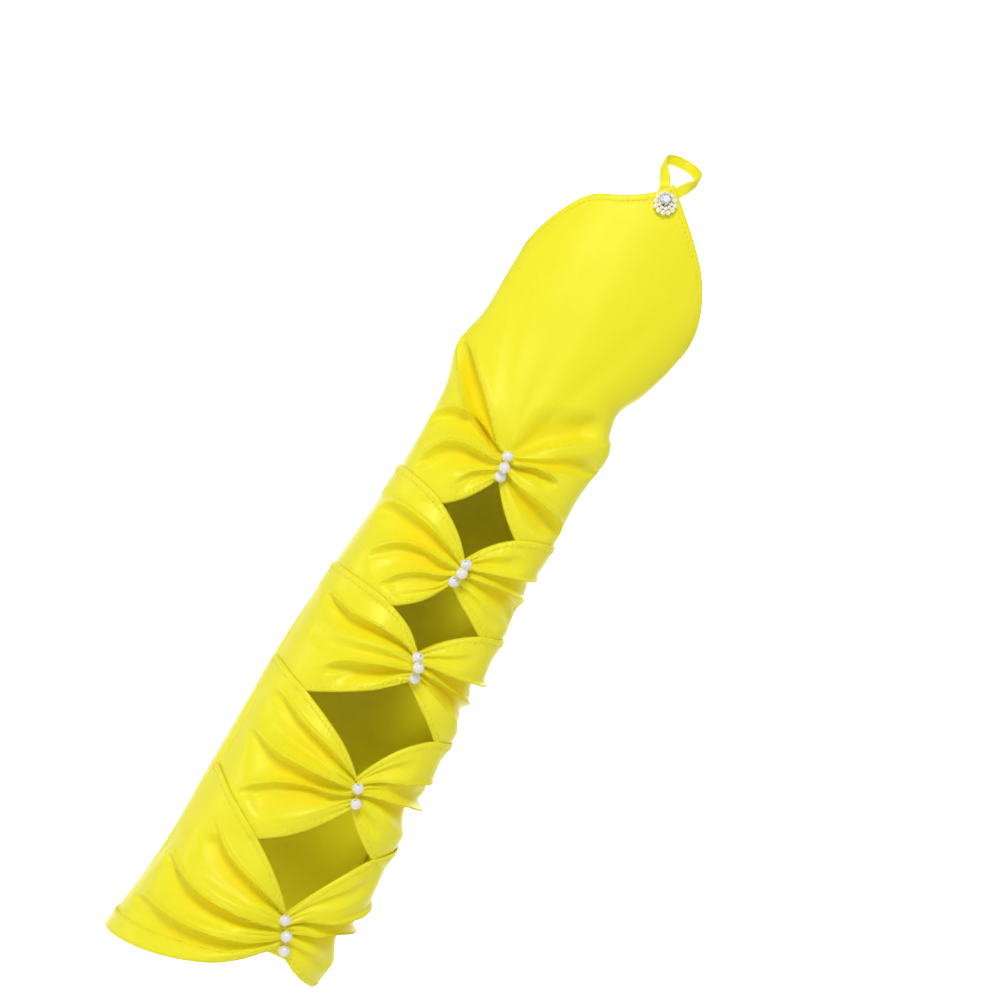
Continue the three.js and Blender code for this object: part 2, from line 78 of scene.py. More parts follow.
# Cross-sections of the sleeve. Station 0 is the elbow hem, 1 the gather at the wrist, 2 the point. left and
# right are shares of half the elbow's width, front and back of half its depth. turn is how far the line of
# gathers has wound to the right, and the seams lie that many degrees either side of it.
Section = namedtuple("Section", "station left right front back turn left_seam right_seam")
SECTIONS = [
    Section(-0.05, 1.1, 0.89, 1.02, 1.02, 28.5, 118, 92),
    Section(0.05, 1.03, 0.88, 1.0, 1.0, 28, 113, 92),
    Section(0.15, 0.98, 0.88, 0.98, 0.98, 27.5, 104, 92),
    Section(0.3, 0.98, 0.87, 0.96, 0.96, 25.5, 94, 92),
    Section(0.4, 0.98, 0.84, 0.93, 0.94, 23.5, 92, 92),
    Section(0.58, 0.965, 0.82, 0.87, 0.9, 18, 94, 92),
    Section(0.72, 0.9, 0.78, 0.8, 0.84, 14, 96, 92),
    Section(0.8, 0.865, 0.76, 0.76, 0.8, 11.5, 93, 92),
    Section(0.9, 0.825, 0.77, 0.71, 0.74, 6.5, 89, 92),
    Section(1.0, 0.81, 0.76, 0.66, 0.68, 1.5, 90, 92),
    Section(1.14, 0.82, 0.79, 0.6, 0.62, 1.5, 92, 92),
    Section(1.3, 0.86, 0.69, 0.55, 0.57, 2, 92, 92),
    Section(1.4, 0.855, 0.82, 0.53, 0.54, 3, 92, 92),
    Section(1.52, 0.86, 0.93, 0.51, 0.52, 4, 92, 92),
    Section(1.65, 0.84, 0.965, 0.48, 0.5, 5, 92, 92),
    Section(1.78, 0.8, 0.91, 0.44, 0.46, 6, 92, 92),
    Section(1.9, 0.76, 0.85, 0.4, 0.42, 6, 92, 92),
    Section(2.03, 0.7, 0.8, 0.35, 0.38, 6, 92, 92),
]

# The gathered pieces, from the hand panel to the elbow. waist is a share of the gather height, and lean is
# how many degrees the foot of a gather stands to the right of its head.
Gather = namedtuple("Gather", "node station waist lean")
GATHERS = [
    Gather("hand_panel", 1.0, 1.0, 1.5),
    Gather("ruched_band_1", 0.806, 1.0, -1.5),
    Gather("ruched_band_2", 0.63, 1.05, 3),
    Gather("ruched_band_3", 0.397, 1.1, 6),
    Gather("ruched_band_4", 0.14, 1.15, 8),
]

# How far a piece's edges spread between its gather and its left and right seams, in shares of the band
# height.
Edge = namedtuple("Edge", "rise rise_curve drop drop_curve")
EDGES = {
    "hand_panel": (Edge(0.17, 3.5, 0.47, 3.5), Edge(0.17, 3.5, 0.43, 3.5)),
    "ruched_band_1": (Edge(0.34, 3.8, 0.46, 3.5), Edge(0.38, 3.8, 0.37, 1.9)),
    "ruched_band_2": (Edge(0.24, 4.5, 0.54, 1.7), Edge(0.35, 4.0, 0.55, 1.3)),
    "ruched_band_3": (Edge(0.42, 2.0, 0.7, 2.2), Edge(0.49, 4.8, 0.35, 2.7)),
    "ruched_band_4": (Edge(0.62, 1.6, 0.54, 2.8), Edge(0.72, 3.5, 0.2, 4.0)),
}

# Folds that run out of a gather as hollows. Each starts in the gather at the share start of the height,
# passes through (mid_u, mid_v) and ends at (head_u, head_v), where u is the way to the seam. width is half
# the hollow's height there as a share, depth is in shares of the fold depth, and crest is 1 where its upper
# side is the sharp one, -1 where the lower side is and 0 where it is soft all round.
Fold = namedtuple("Fold", "start mid_u mid_v head_u head_v width depth crest")
LEFT_FOLDS = {
    "hand_panel": [
        Fold(0.8, 0.38, 0.86, 0.74, 0.72, 0.129, 1.04, 1),
        Fold(0.55, 0.35, 0.55, 0.61, 0.33, 0.155, 1.1, 1),
        Fold(0.33, 0.14, 0.32, 0.26, 0.22, 0.12, 0.55, 1),
    ],
    "ruched_band_1": [
        Fold(0.72, 0.37, 0.685, 0.76, 0.66, 0.147, 1.21, 1),
        Fold(0.52, 0.36, 0.47, 0.58, 0.35, 0.138, 1.16, 1),
        Fold(0.34, 0.26, 0.27, 0.42, 0.14, 0.121, 0.88, 1),
        Fold(0.15, 0.2, 0.12, 0.34, 0.08, 0.062, 0.4, 0),
    ],
    "ruched_band_2": [
        Fold(0.76, 0.46, 0.67, 0.75, 0.77, 0.095, 1.16, 1),
        Fold(0.52, 0.44, 0.43, 0.7, 0.49, 0.106, 0.6, 0),
        Fold(0.34, 0.32, 0.24, 0.49, 0.2, 0.129, 1.16, 1),
    ],
    "ruched_band_3": [
        Fold(0.84, 0.43, 0.79, 0.78, 0.84, 0.103, 1.04, 1),
        Fold(0.7, 0.58, 0.7, 0.84, 0.77, 0.062, 0.45, 0),
        Fold(0.58, 0.56, 0.53, 0.79, 0.6, 0.11, 1.21, 1),
        Fold(0.42, 0.34, 0.39, 0.66, 0.25, 0.129, 1.16, 1),
    ],
    "ruched_band_4": [
        Fold(0.82, 0.42, 0.71, 0.8, 0.81, 0.107, 1.16, 1),
        Fold(0.66, 0.52, 0.575, 0.77, 0.66, 0.053, 0.22, 0),
        Fold(0.5, 0.46, 0.42, 0.85, 0.49, 0.086, 1.21, 1),
        Fold(0.36, 0.46, 0.325, 0.7, 0.32, 0.044, 0.18, 0),
        Fold(0.22, 0.45, 0.19, 0.81, 0.22, 0.1, 1.04, 1),
    ],
}
RIGHT_FOLDS = {
    "hand_panel": [
        Fold(0.78, 0.45, 0.94, 0.9, 1.03, 0.085, 0.95, -1),
        Fold(0.6, 0.2, 0.75, 0.42, 0.74, 0.085, 0.9, 1),
        Fold(0.4, 0.36, 0.42, 0.72, 0.37, 0.14, 1.16, 1),
    ],
    "ruched_band_1": [
        Fold(0.74, 0.16, 0.71, 0.45, 0.76, 0.112, 0.6, 0),
        Fold(0.55, 0.32, 0.57, 0.95, 0.69, 0.095, 0.88, 1),
        Fold(0.4, 0.23, 0.41, 0.85, 0.45, 0.129, 1.16, 1),
        Fold(0.2, 0.3, 0.2, 0.62, 0.24, 0.075, 0.4, 0),
    ],
    "ruched_band_2": [
        Fold(0.76, 0.17, 0.71, 0.38, 0.78, 0.075, 0.4, 0),
        Fold(0.57, 0.28, 0.515, 0.95, 0.64, 0.113, 1.21, 1),
        Fold(0.42, 0.29, 0.385, 0.92, 0.46, 0.095, 1.26, 1),
        Fold(0.28, 0.35, 0.29, 0.6, 0.28, 0.048, 0.7, -1),
    ],
    "ruched_band_3": [
        Fold(0.8, 0.12, 0.77, 0.34, 0.8, 0.088, 0.45, 0),
        Fold(0.65, 0.27, 0.62, 0.78, 0.69, 0.066, 0.72, 1),
        Fold(0.55, 0.31, 0.54, 0.8, 0.58, 0.054, 0.65, -1),
        Fold(0.43, 0.31, 0.435, 0.93, 0.46, 0.09, 1.26, 1),
        Fold(0.22, 0.14, 0.2, 0.3, 0.17, 0.075, 0.5, 0),
    ],
    "ruched_band_4": [
        Fold(0.8, 0.2, 0.75, 0.48, 0.8, 0.088, 0.4, 0),
        Fold(0.6, 0.28, 0.485, 0.92, 0.62, 0.086, 1.16, 1),
        Fold(0.38, 0.28, 0.36, 0.95, 0.36, 0.095, 1.26, 1),
        Fold(0.2, 0.26, 0.18, 0.52, 0.18, 0.062, 0.45, 0),
    ],
}

# Long hollows that climb the hand panel from its gather. heading is in degrees from straight up, positive to
# the right, and bend is how many degrees it turns on its way. reach and width are shares of the hand length.
# side is the sharp one: -1 the left, 1 the right, 2 both, 0 neither. The last column is how much golden
# painted shade the hollow takes.
Ray = namedtuple("Ray", "heading bend reach width depth side glow")
HAND_RAYS = [
    Ray(-53, 0, 0.44, 0.04, 1.15, 2, 1.15),
    Ray(-27, 4, 0.7, 0.05, 0.1, 0, 0.05),
    Ray(-4, -2, 0.85, 0.06, 0.11, 0, 0.05),
    Ray(17, 4, 0.75, 0.05, 0.13, 0, 0.05),
    Ray(24, 60, 0.44, 0.068, 1.4, 1, 0.6),
]

# Swellings of the cloth beside the wrist: how high they stand, and where they lie round the sleeve and above
# the gather, each with its width.
Bulge = namedtuple("Bulge", "lift angle angle_width rise rise_width")
WRIST_BULGES = [
    Bulge(4.2, -92, 24, 38, 13),
    Bulge(3.0, 85, 26, 30, 10),
]

# The upper edge, as the share of the wrist drop that it has fallen at each share of the half turn from the
# point to the lowest place behind it.
EdgePoint = namedtuple("EdgePoint", "around left right")
UPPER_EDGE = [
    EdgePoint(0.0, 0.0, 0.0),
    EdgePoint(0.05, 0.07, 0.055),
    EdgePoint(0.15, 0.15, 0.16),
    EdgePoint(0.3, 0.235, 0.33),
    EdgePoint(0.45, 0.44, 0.56),
    EdgePoint(0.6, 0.66, 0.75),
    EdgePoint(0.8, 0.88, 0.91),
    EdgePoint(1.0, 1.0, 1.0),
]

# The finger loop's centre line: degrees round its ring from the front, and the rise above the point in ring
# diameters. Its ends lie under the hand panel.
LoopPoint = namedtuple("LoopPoint", "around rise")
LOOP_PATH = [
    LoopPoint(-9, -0.5),
    LoopPoint(-15, -0.28),
    LoopPoint(-24, -0.06),
    LoopPoint(-46, 0.18),
    LoopPoint(-76, 0.4),
    LoopPoint(-112, 0.58),
    LoopPoint(-146, 0.69),
    LoopPoint(-180, 0.73),
    LoopPoint(-214, 0.69),
    LoopPoint(-248, 0.57),
    LoopPoint(-284, 0.38),
    LoopPoint(-314, 0.16),
    LoopPoint(-334, -0.07),
    LoopPoint(-344, -0.28),
    LoopPoint(-350, -0.5),
]
LOOP_EASE = 0.5
LOOP_TUCK = 0.85
STRAP_ROWS = 19
STRAP_COLUMNS = 150

PathPoint = namedtuple("PathPoint", "u v")
StrapPoint = namedtuple("StrapPoint", "run x y z")

# What lies between the form and the cloth's face, and how softly one piece laps over the next.
SOLID_WALL = 1.2
LAYER_GAP = 0.3
LAP_SOFTNESS = 0.4

# The cross-section of a hollow, in shares of its half width: its sharp side, the gentle side across from
# it, and either side where both are sharp, which the tables give as BOTH_SIDES.
BOTH_SIDES = 2
SHARP_SIDE = 0.6
GENTLE_SIDE = 1.65
BOTH_SHARP_SIDE = 0.85

# Where a hollow starts to round off, as a share of its length, and how high its lip is for its depth.
FOLD_END = 0.66
FOLD_LIP = 0.4
RAY_END = 0.7
RAY_LIP = 0.35

# The bunched cloth at a gather: its width in shares of the way to the seam, and its pleats.
PINCH_WIDTH = 0.13
PLEATS = 6.5
PLEAT_RISE = 0.9

# The relief of a hem: how high its doubled cloth stands, how deep its stitches sit and pull, how high the
# puckers beside them are, and how deep its edge rolls in. Then a stitch's own width, height and lift.
HEM_RISE = 0.32
STITCH_DEPTH = 0.22
STITCH_PULL = 0.12
PUCKER_RISE = 0.19
EDGE_ROLL = 0.28
STITCH_WIDTH = 0.55
STITCH_HEIGHT = 0.42
STITCH_LIFT = 0.12

# Shares of an edge that its stitches run along. A gathered edge has none under its pearls.
WHOLE_EDGE = [(0.01, 0.99)]
GATHERED_EDGE = [(0.01, 0.485), (0.515, 0.99)]

# How the cloth turns in at a side seam: over what width, and how deep.
SEAM_ANGLE = 92
SEAM_WIDTH = 2.6
SEAM_SINK = 0.45

# Rough widths of the cloth that its crumples are spread over: from a gather to a seam, and across the back.
WING_SPAN = 75
BACK_SPAN = 140

# Rows and columns of the grids that the faces are made on.
BAND_ROWS = 130
HAND_ROWS = 170
GATHERED_COLUMNS = 180
GATHERED_SHARE = 0.5  # of the hand panel's rows
BACK_ROWS = 220
BACK_COLUMNS = 70

# A record of a sheet's cut size, and the area that shows of a shaped one or of the folded strap. Nothing in
# the script fills one in.
Cut = namedtuple("Cut", "flat area")

# The button is set by given shifts: its ring sits a little low and its stone a little high.
RING_SHIFT = (0.0012, 0, -0.0006)
STONE_SHIFT = (0.0004, 0, 0.0009)
CUP_RADIUS = 0.0047
CUP_HEIGHT = 0.0012
CUP_SINK = 0.0009
CUP_RIM = 0.0017
CUP_LEDGE = 0.0004
CUP_RISE = 0.0009
CUP_SEAT = 0.0006
CLAW_RADIUS = 0.00042
CLAW_LENGTH = 0.0006
CLAW_COUNT = 8
CLAW_REACH = 0.00295
CLAW_RISE = 0.0011
STONE_RADIUS = 0.0027
GIRDLE = 0.0003
STONE_SIDES = 16
BeadRow = namedtuple("BeadRow", "name count radius reach rise")
BEAD_ROWS = [
    BeadRow("outer", 12, 0.00122, 0.0045, 0.0003),
    BeadRow("inner", 9, 0.00088, 0.0026, 0.0008),
]

# A drilled ball: its bore as a share of the mouth, the mouth's angle from the axis, and how its rim sinks.
BORE = 0.6
MOUTH_ANGLE = 10
MOUTH_SINK = 0.985

THREAD_RADIUS = 0.00028

# The studio: a paper floor that sweeps up into a wall, and soft square lights with their powers in watts.
FLOOR_SIZE = 6
FLOOR_DROP = 0.14
SWEEP_RADIUS = 0.7
SWEEP_STEPS = 8
WALL_HEIGHT = 3
WORLD_STRENGTH = 0.455
MITTEN_MIDDLE = (0, 0, 0.22)
Light = namedtuple("Light", "name place aim size power spread")
LIGHTS = [
    Light("key_light", (-0.44, -1.45, 1.18), MITTEN_MIDDLE, 0.5, 13.8, 180),
    Light("left_edge_light", (-1.54, -0.25, -0.2), MITTEN_MIDDLE, 0.8, 6, 180),
    Light("right_edge_light", (1.39, -0.35, 1.02), MITTEN_MIDDLE, 0.8, 2.5, 180),
    Light("backdrop_light", (0.0, 1.0, 2.4), (0, 2.3, 0.6), 1.6, 60, 105),
]

# The photograph's view: straight at the front, with the mitten leaning to the right. The view width is
# measured at the face depth, which lies before the frame's origin.
VIEW_LEAN = 30
VIEW_MIDDLE = (0.0073, 0.0, 0.2537)
VIEW_WIDTH = 0.4545
VIEW_DISTANCE = 1.4
FACE_DEPTH = 0.02
SENSOR_WIDTH = 36


def smoothstep(x, low, high):
    t = np.clip((x - low) / (high - low), 0, 1)
    return t * t * (3 - 2 * t)


def ramp(x, low, high, start, end):
    """A smooth change from start, up to low, to end, from high on."""
    return start + (end - start) * smoothstep(x, low, high)


def bump(x, middle, width):
    """A smooth bump, 1 at its middle and nearly 0 at two widths from it."""
    return np.exp(-(((x - middle) / width) ** 2))


def unit(vectors):
    return vectors / np.maximum(np.linalg.norm(vectors, axis=-1, keepdims=True), 1e-9)


def along(rows, column, at):
    """One column of a table at places between its rows, on a smooth curve through them."""
    keys = np.array([row[0] for row in rows], float)
    values = np.array([getattr(row, column) for row in rows], float)
    count = len(keys)
    before = np.maximum(np.arange(count) - 1, 0)
    after = np.minimum(np.arange(count) + 1, count - 1)
    slopes = (values[after] - values[before]) / (keys[after] - keys[before])
    at = np.asarray(at, float)
    i = np.clip(np.searchsorted(keys, at) - 1, 0, count - 2)
    span = keys[i + 1] - keys[i]
    t = np.clip((at - keys[i]) / span, 0, 1)
    start = (2 * t**3 - 3 * t**2 + 1) * values[i] + (t**3 - 2 * t**2 + t) * span * slopes[i]
    return start + (3 * t**2 - 2 * t**3) * values[i + 1] + (t**3 - t**2) * span * slopes[i + 1]


def soft_crumple(x, y, seed, length, waves=9):
    """Gentle irregular waves of about that wavelength, between -1 and 1, the same on each run."""
    rng = np.random.RandomState(seed)
    total = np.zeros(np.broadcast(x, y).shape)
    for _ in range(waves):
        heading, phase = rng.uniform(0, math.tau, 2)
        pace = math.tau / (length * rng.uniform(0.7, 1.6))
        total += np.sin(pace * (x * math.cos(heading) + y * math.sin(heading)) + phase)
    return total / waves


def hollowed(across, beyond, side):
    """A hollow and its rolled lip, each from 0 to 1, at shares of its width across it and past its middle.

    side is 1 or -1 where the hollow has one sharp side, which lies closer to its deepest line, 2 where both
    are sharp and 0 where only its end is.
    """
    if side == BOTH_SIDES:
        across = across / BOTH_SHARP_SIDE
        sharp = np.ones(np.shape(across))
    elif side:
        towards = across * side
        across = across / np.where(towards > 0, SHARP_SIDE, GENTLE_SIDE)
        sharp = smoothstep(towards + 0.15 * beyond, -0.3, 0.3)
    else:
        sharp = 0.3 * smoothstep(beyond, 0, 0.9) + np.zeros(np.shape(across))
    edge = np.hypot(across, beyond)
    steep = np.clip(1 - edge**3.4, 0, 1) ** 0.75
    gentle = np.cos(np.minimum(edge / 1.1, 1) * math.pi / 2) ** 2
    return gentle + (steep - gentle) * sharp, sharp * bump(edge, 1.15, 0.18)


def fold_hollow(fold, out, v):
    """A fold's hollow, its rolled lip and the golden painted shade near its gather, each from 0 to 1."""
    path = [(0.0, fold.start), (fold.mid_u, fold.mid_v), (fold.head_u, fold.head_v)]
    middle = along([PathPoint(*place) for place in path], "v", np.minimum(out, fold.head_u))
    share = out / fold.head_u
    width = fold.width * ramp(share, 0, 0.5, 0.45, 1) * ramp(share, 0.45, 1, 1, 1.2)
    beyond = np.maximum(share - FOLD_END, 0) / (1 - FOLD_END)
    bowl, lip = hollowed((v - middle) / width, beyond, fold.crest)
    bowl = bowl * ramp(share, 0.02, 0.4, 0.42, 1) * ramp(out, 0.55, 0.9, 1, 0.6)
    lip = lip * max(fold.crest, 0) * ramp(share, 0, 0.3, 0.5, 1) * (1 - 0.85 * np.minimum(beyond, 1))
    # The third value is painted shade: strongest deep in the hollow near the gather, weaker towards its head.
    return bowl, lip, bowl**1.8 * ramp(share, 0.4, 0.9, 1, 0.35)


def gather_roll(u, v):
    """The bunched cloth under the pearls is rounded like a cord."""
    round_off = np.sqrt(np.maximum(1 - (2 * np.clip(v, 0, 1) - 1) ** 2, 0))
    return (1.9 * round_off - 1.5) * bump(u, 0, 0.12)


def sewn_in(reach, lift):
    """Towards a side seam, at reach 0, the cloth turns in. Past it, it runs on inside."""
    turned = ramp(reach, 0, SEAM_WIDTH, 1, 0) ** 2
    return lift * (1 - turned) - SEAM_SINK * turned - 1.3 * smoothstep(-reach, 0, 1.6)


def grid_normals(points):
    """Unit normals of a grid of points whose rows run up and whose columns run to the right."""
    return unit(np.cross(np.gradient(points, axis=1), np.gradient(points, axis=0)))


def lengths_along(points, axis=0):
    """Length from the first row or column of a grid, or from the first point of a line, to each point."""
    steps = np.linalg.norm(np.diff(points, axis=axis), axis=-1)
    shape = list(steps.shape)
    shape[axis] = 1
    return np.concatenate([np.zeros(shape), np.cumsum(steps, axis=axis)], axis=axis)


class Sleeve:
    """The form that the cloth follows: what part.mjs makes in solids, as functions on arrays."""

    def __init__(self, sizes):
        self.sleeve = sizes.sleeve_length / MM
        self.hand = sizes.hand_length / MM
        self.drop = sizes.wrist_drop / MM
        self.half_width = sizes.elbow_width / MM / 2
        self.half_depth = sizes.elbow_depth / MM / 2
        self.band = sizes.band_height / MM
        self.waist = sizes.gather_height / MM
        self.fold_depth = sizes.fold_depth / MM
        self.puff_height = sizes.puff_height / MM
        self.cloth = sizes.cloth_thickness / MM
        self.hem = sizes.hem_width / MM
        self.elbow_hem = sizes.elbow_hem / MM
        self.stitch = sizes.stitch_length / MM
        self.point_height = self.sleeve + self.hand
        self.point_angle = float(self.section(self.point_height, "turn"))

    def height_of(self, station):
        if station <= 1:
            return station * self.sleeve
        return self.sleeve + (station - 1) * self.hand

    def section(self, height, column):
        height = np.asarray(height, float)
        hand_station = 1 + (height - self.sleeve) / self.hand
        return along(SECTIONS, column, np.where(height <= self.sleeve, height / self.sleeve, hand_station))

    def sided(self, sign, height, negative, positive):
        """One of two columns of the sections, by the sign."""
        return np.where(sign < 0, self.section(height, negative), self.section(height, positive))

    def point(self, angle, height, lift):
        """The point at an angle round the sleeve from its front, raised by lift."""
        sine, cosine = np.sin(np.radians(angle)), np.cos(np.radians(angle))
        width = self.half_width * self.sided(sine, height, "left", "right")
        depth = self.half_depth * self.sided(cosine, height, "back", "front")
        out_x, out_y = sine / width, -cosine / depth
        size = np.hypot(out_x, out_y)
        x = width * sine + out_x / size * lift
        y = -depth * cosine + out_y / size * lift
        return np.stack(np.broadcast_arrays(x, y, np.asarray(height, float)), axis=-1)

    def angle_of(self, u, height):
        return self.section(height, "turn") + u * self.sided(u, height, "left_seam", "right_seam")

    def upper_edge(self, angle):
        turned = (angle - self.point_angle + 180) % 360 - 180
        around = 1 - np.hypot(1 - np.abs(turned) / 180, 0.04)
        fallen = np.where(turned < 0, along(UPPER_EDGE, "left", around), along(UPPER_EDGE, "right", around))
        return self.point_height - self.drop * fallen

    def spread(self, gather, u):
        """Heights of a gathered piece's upper and lower edges at u."""
        tie = self.height_of(gather.station)
        half_waist = self.waist * gather.waist / 2
        out = np.minimum(np.abs(u), 1)
        left, right = [
            (edge.rise * (1 - (1 - out) ** edge.rise_curve), edge.drop * (1 - (1 - out) ** edge.drop_curve))
            for edge in EDGES[gather.node]
        ]
        rise, drop = np.where(u < 0, left, right)
        return tie + half_waist + self.band * rise, tie - half_waist - self.band * drop

    def lean(self, gather, u, v):
        return -gather.lean * (v - 0.5) * (1 - np.minimum(np.abs(u), 1)) ** 6

    def covered(self, gather, u):
        """The share of a gathered piece that the top of the next one covers at u."""
        index = GATHERS.index(gather)
        if index + 1 == len(GATHERS):
            return np.full(np.shape(u), -1.0)
        top, bottom = self.spread(gather, u)
        return (self.spread(GATHERS[index + 1], u)[0] - bottom) / (top - bottom)

    def puff(self, u, v):
        """How far the wings of a piece puff out."""
        out = np.minimum(np.abs(u), 1)
        wing = smoothstep(out, 0, 0.32) * ramp(out, 0.5, 1, 1, 0)
        crown = np.maximum(np.sin(np.clip(v, 0, 1) * math.pi), 0) ** 0.6
        return self.puff_height * wing * (0.3 + 0.7 * crown)

    def folds(self, gather, u, v):
        """Displacement of the folds, and the painted shade, from 0 to 1, that grows with how deep in a fold
        each place is.
        """
        out = np.abs(u)
        covered = self.covered(gather, u)
        bare = smoothstep(v, covered + 0.02, covered + 0.14)
        lift = np.zeros(np.shape(u))
        depth = np.zeros(np.shape(u))
        for side, table in ((-1, LEFT_FOLDS), (1, RIGHT_FOLDS)):
            mine = np.where(u * side > 0, 1.0, 0.0)
            for fold in table[gather.node]:
                bowl, lip, glow = fold_hollow(fold, out, v)
                lift += mine * self.fold_depth * fold.depth * (FOLD_LIP * lip - bowl)
                depth += mine * fold.depth * glow
        pinch = bump(out, 0, PINCH_WIDTH)
        wander = 0.35 * np.sin(7 * v + 3 * out + gather.station * 9)
        pleat = np.sqrt(np.cos(math.pi * (PLEATS * v + wander)) ** 2 + 0.03)
        lift = lift * (1 - 0.75 * bump(out, 0, 0.05)) + PLEAT_RISE * pinch * (pleat - 0.6)
        # Painted shade also fills the valleys of the pleats at the gather.
        depth += 0.5 * pinch * (1 - pleat)
        return lift * bare, np.clip(depth * bare, 0, 1)

    def own_lift(self, gather, u, v, height):
        folds, depth = self.folds(gather, u, v)
        index = GATHERS.index(gather)
        across = u * WING_SPAN
        crumple = 0.22 * soft_crumple(across, height, 3 + index, 21)
        crumple += 0.035 * soft_crumple(across, height, 17 + index, 7)
        lift = SOLID_WALL + self.puff(u, v) + gather_roll(u, v) + folds
        return lift + crumple * smoothstep(np.abs(u), 0.05, 0.3), depth

    def lift(self, gather, u, v, height):
        """A gathered piece's outer face, which lies over the lower edge of the piece above it."""
        lift, depth = self.own_lift(gather, u, v, height)
        index = GATHERS.index(gather)
        if index:
            upper = GATHERS[index - 1]
            top, bottom = self.spread(upper, u)
            upper_v = (height - bottom) / (top - bottom)
            under = self.lift(upper, u, np.clip(upper_v, 0, 1), height)[0] + self.cloth + LAYER_GAP
            there = smoothstep(height - bottom, -4.5, 0.5)
            short = under - lift
            lift = lift + there * 0.5 * (short + np.hypot(short, LAP_SOFTNESS))
        return lift, depth

    def gathered_grid(self, gather):
        """Shares u and v, angles and heights of the grid that a gathered piece is made on."""
        across = np.linspace(-1, 1, GATHERED_COLUMNS)
        u = (np.sign(across) * np.abs(across) ** 1.35)[None, :]
        top, bottom = self.spread(gather, u)
        if gather.node == "hand_panel":
            up = np.linspace(0, 1, HAND_ROWS)[:, None]
            gathered = bottom + (top - bottom) * np.minimum(up / GATHERED_SHARE, 1)
            rim = self.upper_edge(self.angle_of(u, self.point_height - self.drop / 2))
            height = gathered + (rim - gathered) * np.maximum((up - GATHERED_SHARE) / (1 - GATHERED_SHARE), 0)
        else:
            height = bottom + (top - bottom) * np.linspace(0, 1, BAND_ROWS)[:, None]
        u = np.broadcast_to(u, height.shape)
        v = (height - bottom) / (top - bottom)
        angle = self.angle_of(u, height) + self.lean(gather, u, np.clip(v, 0, 1))
        return u, v, angle, height

    def rays(self, angle, height):
        """The long hollows of the hand panel, like folds()."""
        arc = np.radians(angle) * self.half_width * self.sided(angle, height, "left", "right")
        rise = height - self.sleeve
        lift = np.zeros(np.shape(arc))
        depth = np.zeros(np.shape(arc))
        for ray in HAND_RAYS:
            heading = math.radians(ray.heading)
            reach = ray.reach * self.hand
            share = np.clip((rise * math.cos(heading) + arc * math.sin(heading)) / reach, 0, 2)
            aside = arc * math.cos(heading) - rise * math.sin(heading)
            aside = aside - math.tan(math.radians(ray.bend)) * reach * 0.5 * share**3
            width = ray.width * self.hand * ramp(share, 0, 0.55, 0.22, 1)
            bowl, lip = hollowed(aside / width, np.maximum(share - RAY_END, 0) / (1 - RAY_END), ray.side)
            rolled = RAY_LIP * lip if ray.side == BOTH_SIDES else 0
            grown = smoothstep(share, 0.0, 0.35)
            lift += self.fold_depth * ray.depth * grown * (rolled - bowl)
            # The hollow's golden painted shade.
            depth += ray.glow * grown * bowl
        ahead = smoothstep(rise, 1, 9) * ramp(angle, 44, 66, 1, 0.15)
        return lift * ahead, np.clip(depth * ahead, 0, 1)

    def hand_lift(self, u, v, angle, height, lift, depth):
        """The hand panel's folds near its gather, and above them smooth cloth with its long hollows."""
        over = smoothstep(v, 1.12, 1.42)
        smooth = SOLID_WALL + self.puff(u, np.clip(v, 0, 1)) * ramp(v, 1, 2.2, 1, 0)
        smooth += 0.3 * soft_crumple(angle * 0.6, height, 5, 33) * smoothstep(np.abs(u), 0.05, 0.3)
        ray_lift, ray_depth = self.rays(angle, height)
        lift = lift * (1 - over) + smooth * over + ray_lift
        for bulge in WRIST_BULGES:
            around = bump(angle, bulge.angle, bulge.angle_width)
            lift = lift + bulge.lift * around * bump(height - self.sleeve, bulge.rise, bulge.rise_width)
        return lift, np.clip(depth * (1 - over) + ray_depth, 0, 1)

    def gathered_surface(self, gather):
        """Outer face of a gathered piece, and how deep in a fold each point is, which sets its painted shade.
        """
        u, v, angle, height = self.gathered_grid(gather)
        lift, depth = self.lift(gather, u, np.clip(v, 0, 1.5), height)
        if gather.node == "hand_panel":
            lift, depth = self.hand_lift(u, v, angle, height, lift, depth)
        reach = (1 - np.minimum(np.abs(u), 1)) * np.radians(SEAM_ANGLE) * self.half_width
        return self.point(angle, height, sewn_in(reach, lift)), depth


def edge_distance(points, from_top):
    """Distance of each grid point from the upper or lower edge, square to that edge."""
    columns = lengths_along(points, 0)
    if from_top:
        columns = columns[-1:] - columns
    row = points[-1] if from_top else points[0]
    next_row = points[-6] if from_top else points[5]
    square = np.cross(unit(np.gradient(row, axis=0)), unit(next_row - row))
    return columns * np.linalg.norm(square, axis=1)[None, :]


def hem_widths(form, gather, from_top, columns):
    """How far the stitches run from an edge, at each column. The elbow's hem is a deep one on its left."""
    share = np.linspace(-1, 1, columns)
    if gather is GATHERS[-1] and not from_top:
        return form.hem + form.elbow_hem * smoothstep(-share, 0.12, 0.6)
    return np.full(columns, form.hem)


def hemmed(form, points, gather=None):
    """Adds the doubled hems of a face and the pull of their stitches."""
    lift = np.zeros(points.shape[:2])
    for from_top in (True, False):
        away = edge_distance(points, from_top)
        run = lengths_along(points[-1] if from_top else points[0])[None, :]
        hem = hem_widths(form, gather, from_top, points.shape[1])[None, :]
        drawn = 0.45 if from_top and gather is GATHERS[0] else 1 + 1.4 * (hem - form.hem) / form.elbow_hem
        pull = np.cos(math.tau * run / form.stitch)
        pucker = np.cos(math.tau * (run / (form.stitch * 1.37) + 0.4 * np.sin(run / 9)))
        lift += HEM_RISE * (1 - smoothstep(away, hem - 0.3, hem + 0.9))
        lift -= (STITCH_DEPTH + STITCH_PULL * pull) * bump(away, hem, 0.65)
        lift += PUCKER_RISE * drawn * pucker * bump(away, hem, 1.9)
        lift -= EDGE_ROLL * bump(away, 0, 0.8)
    return points + grid_normals(points) * lift[..., None]


def gathered_face(form, gather):
    points, depth = form.gathered_surface(gather)
    return hemmed(form, points, gather), depth


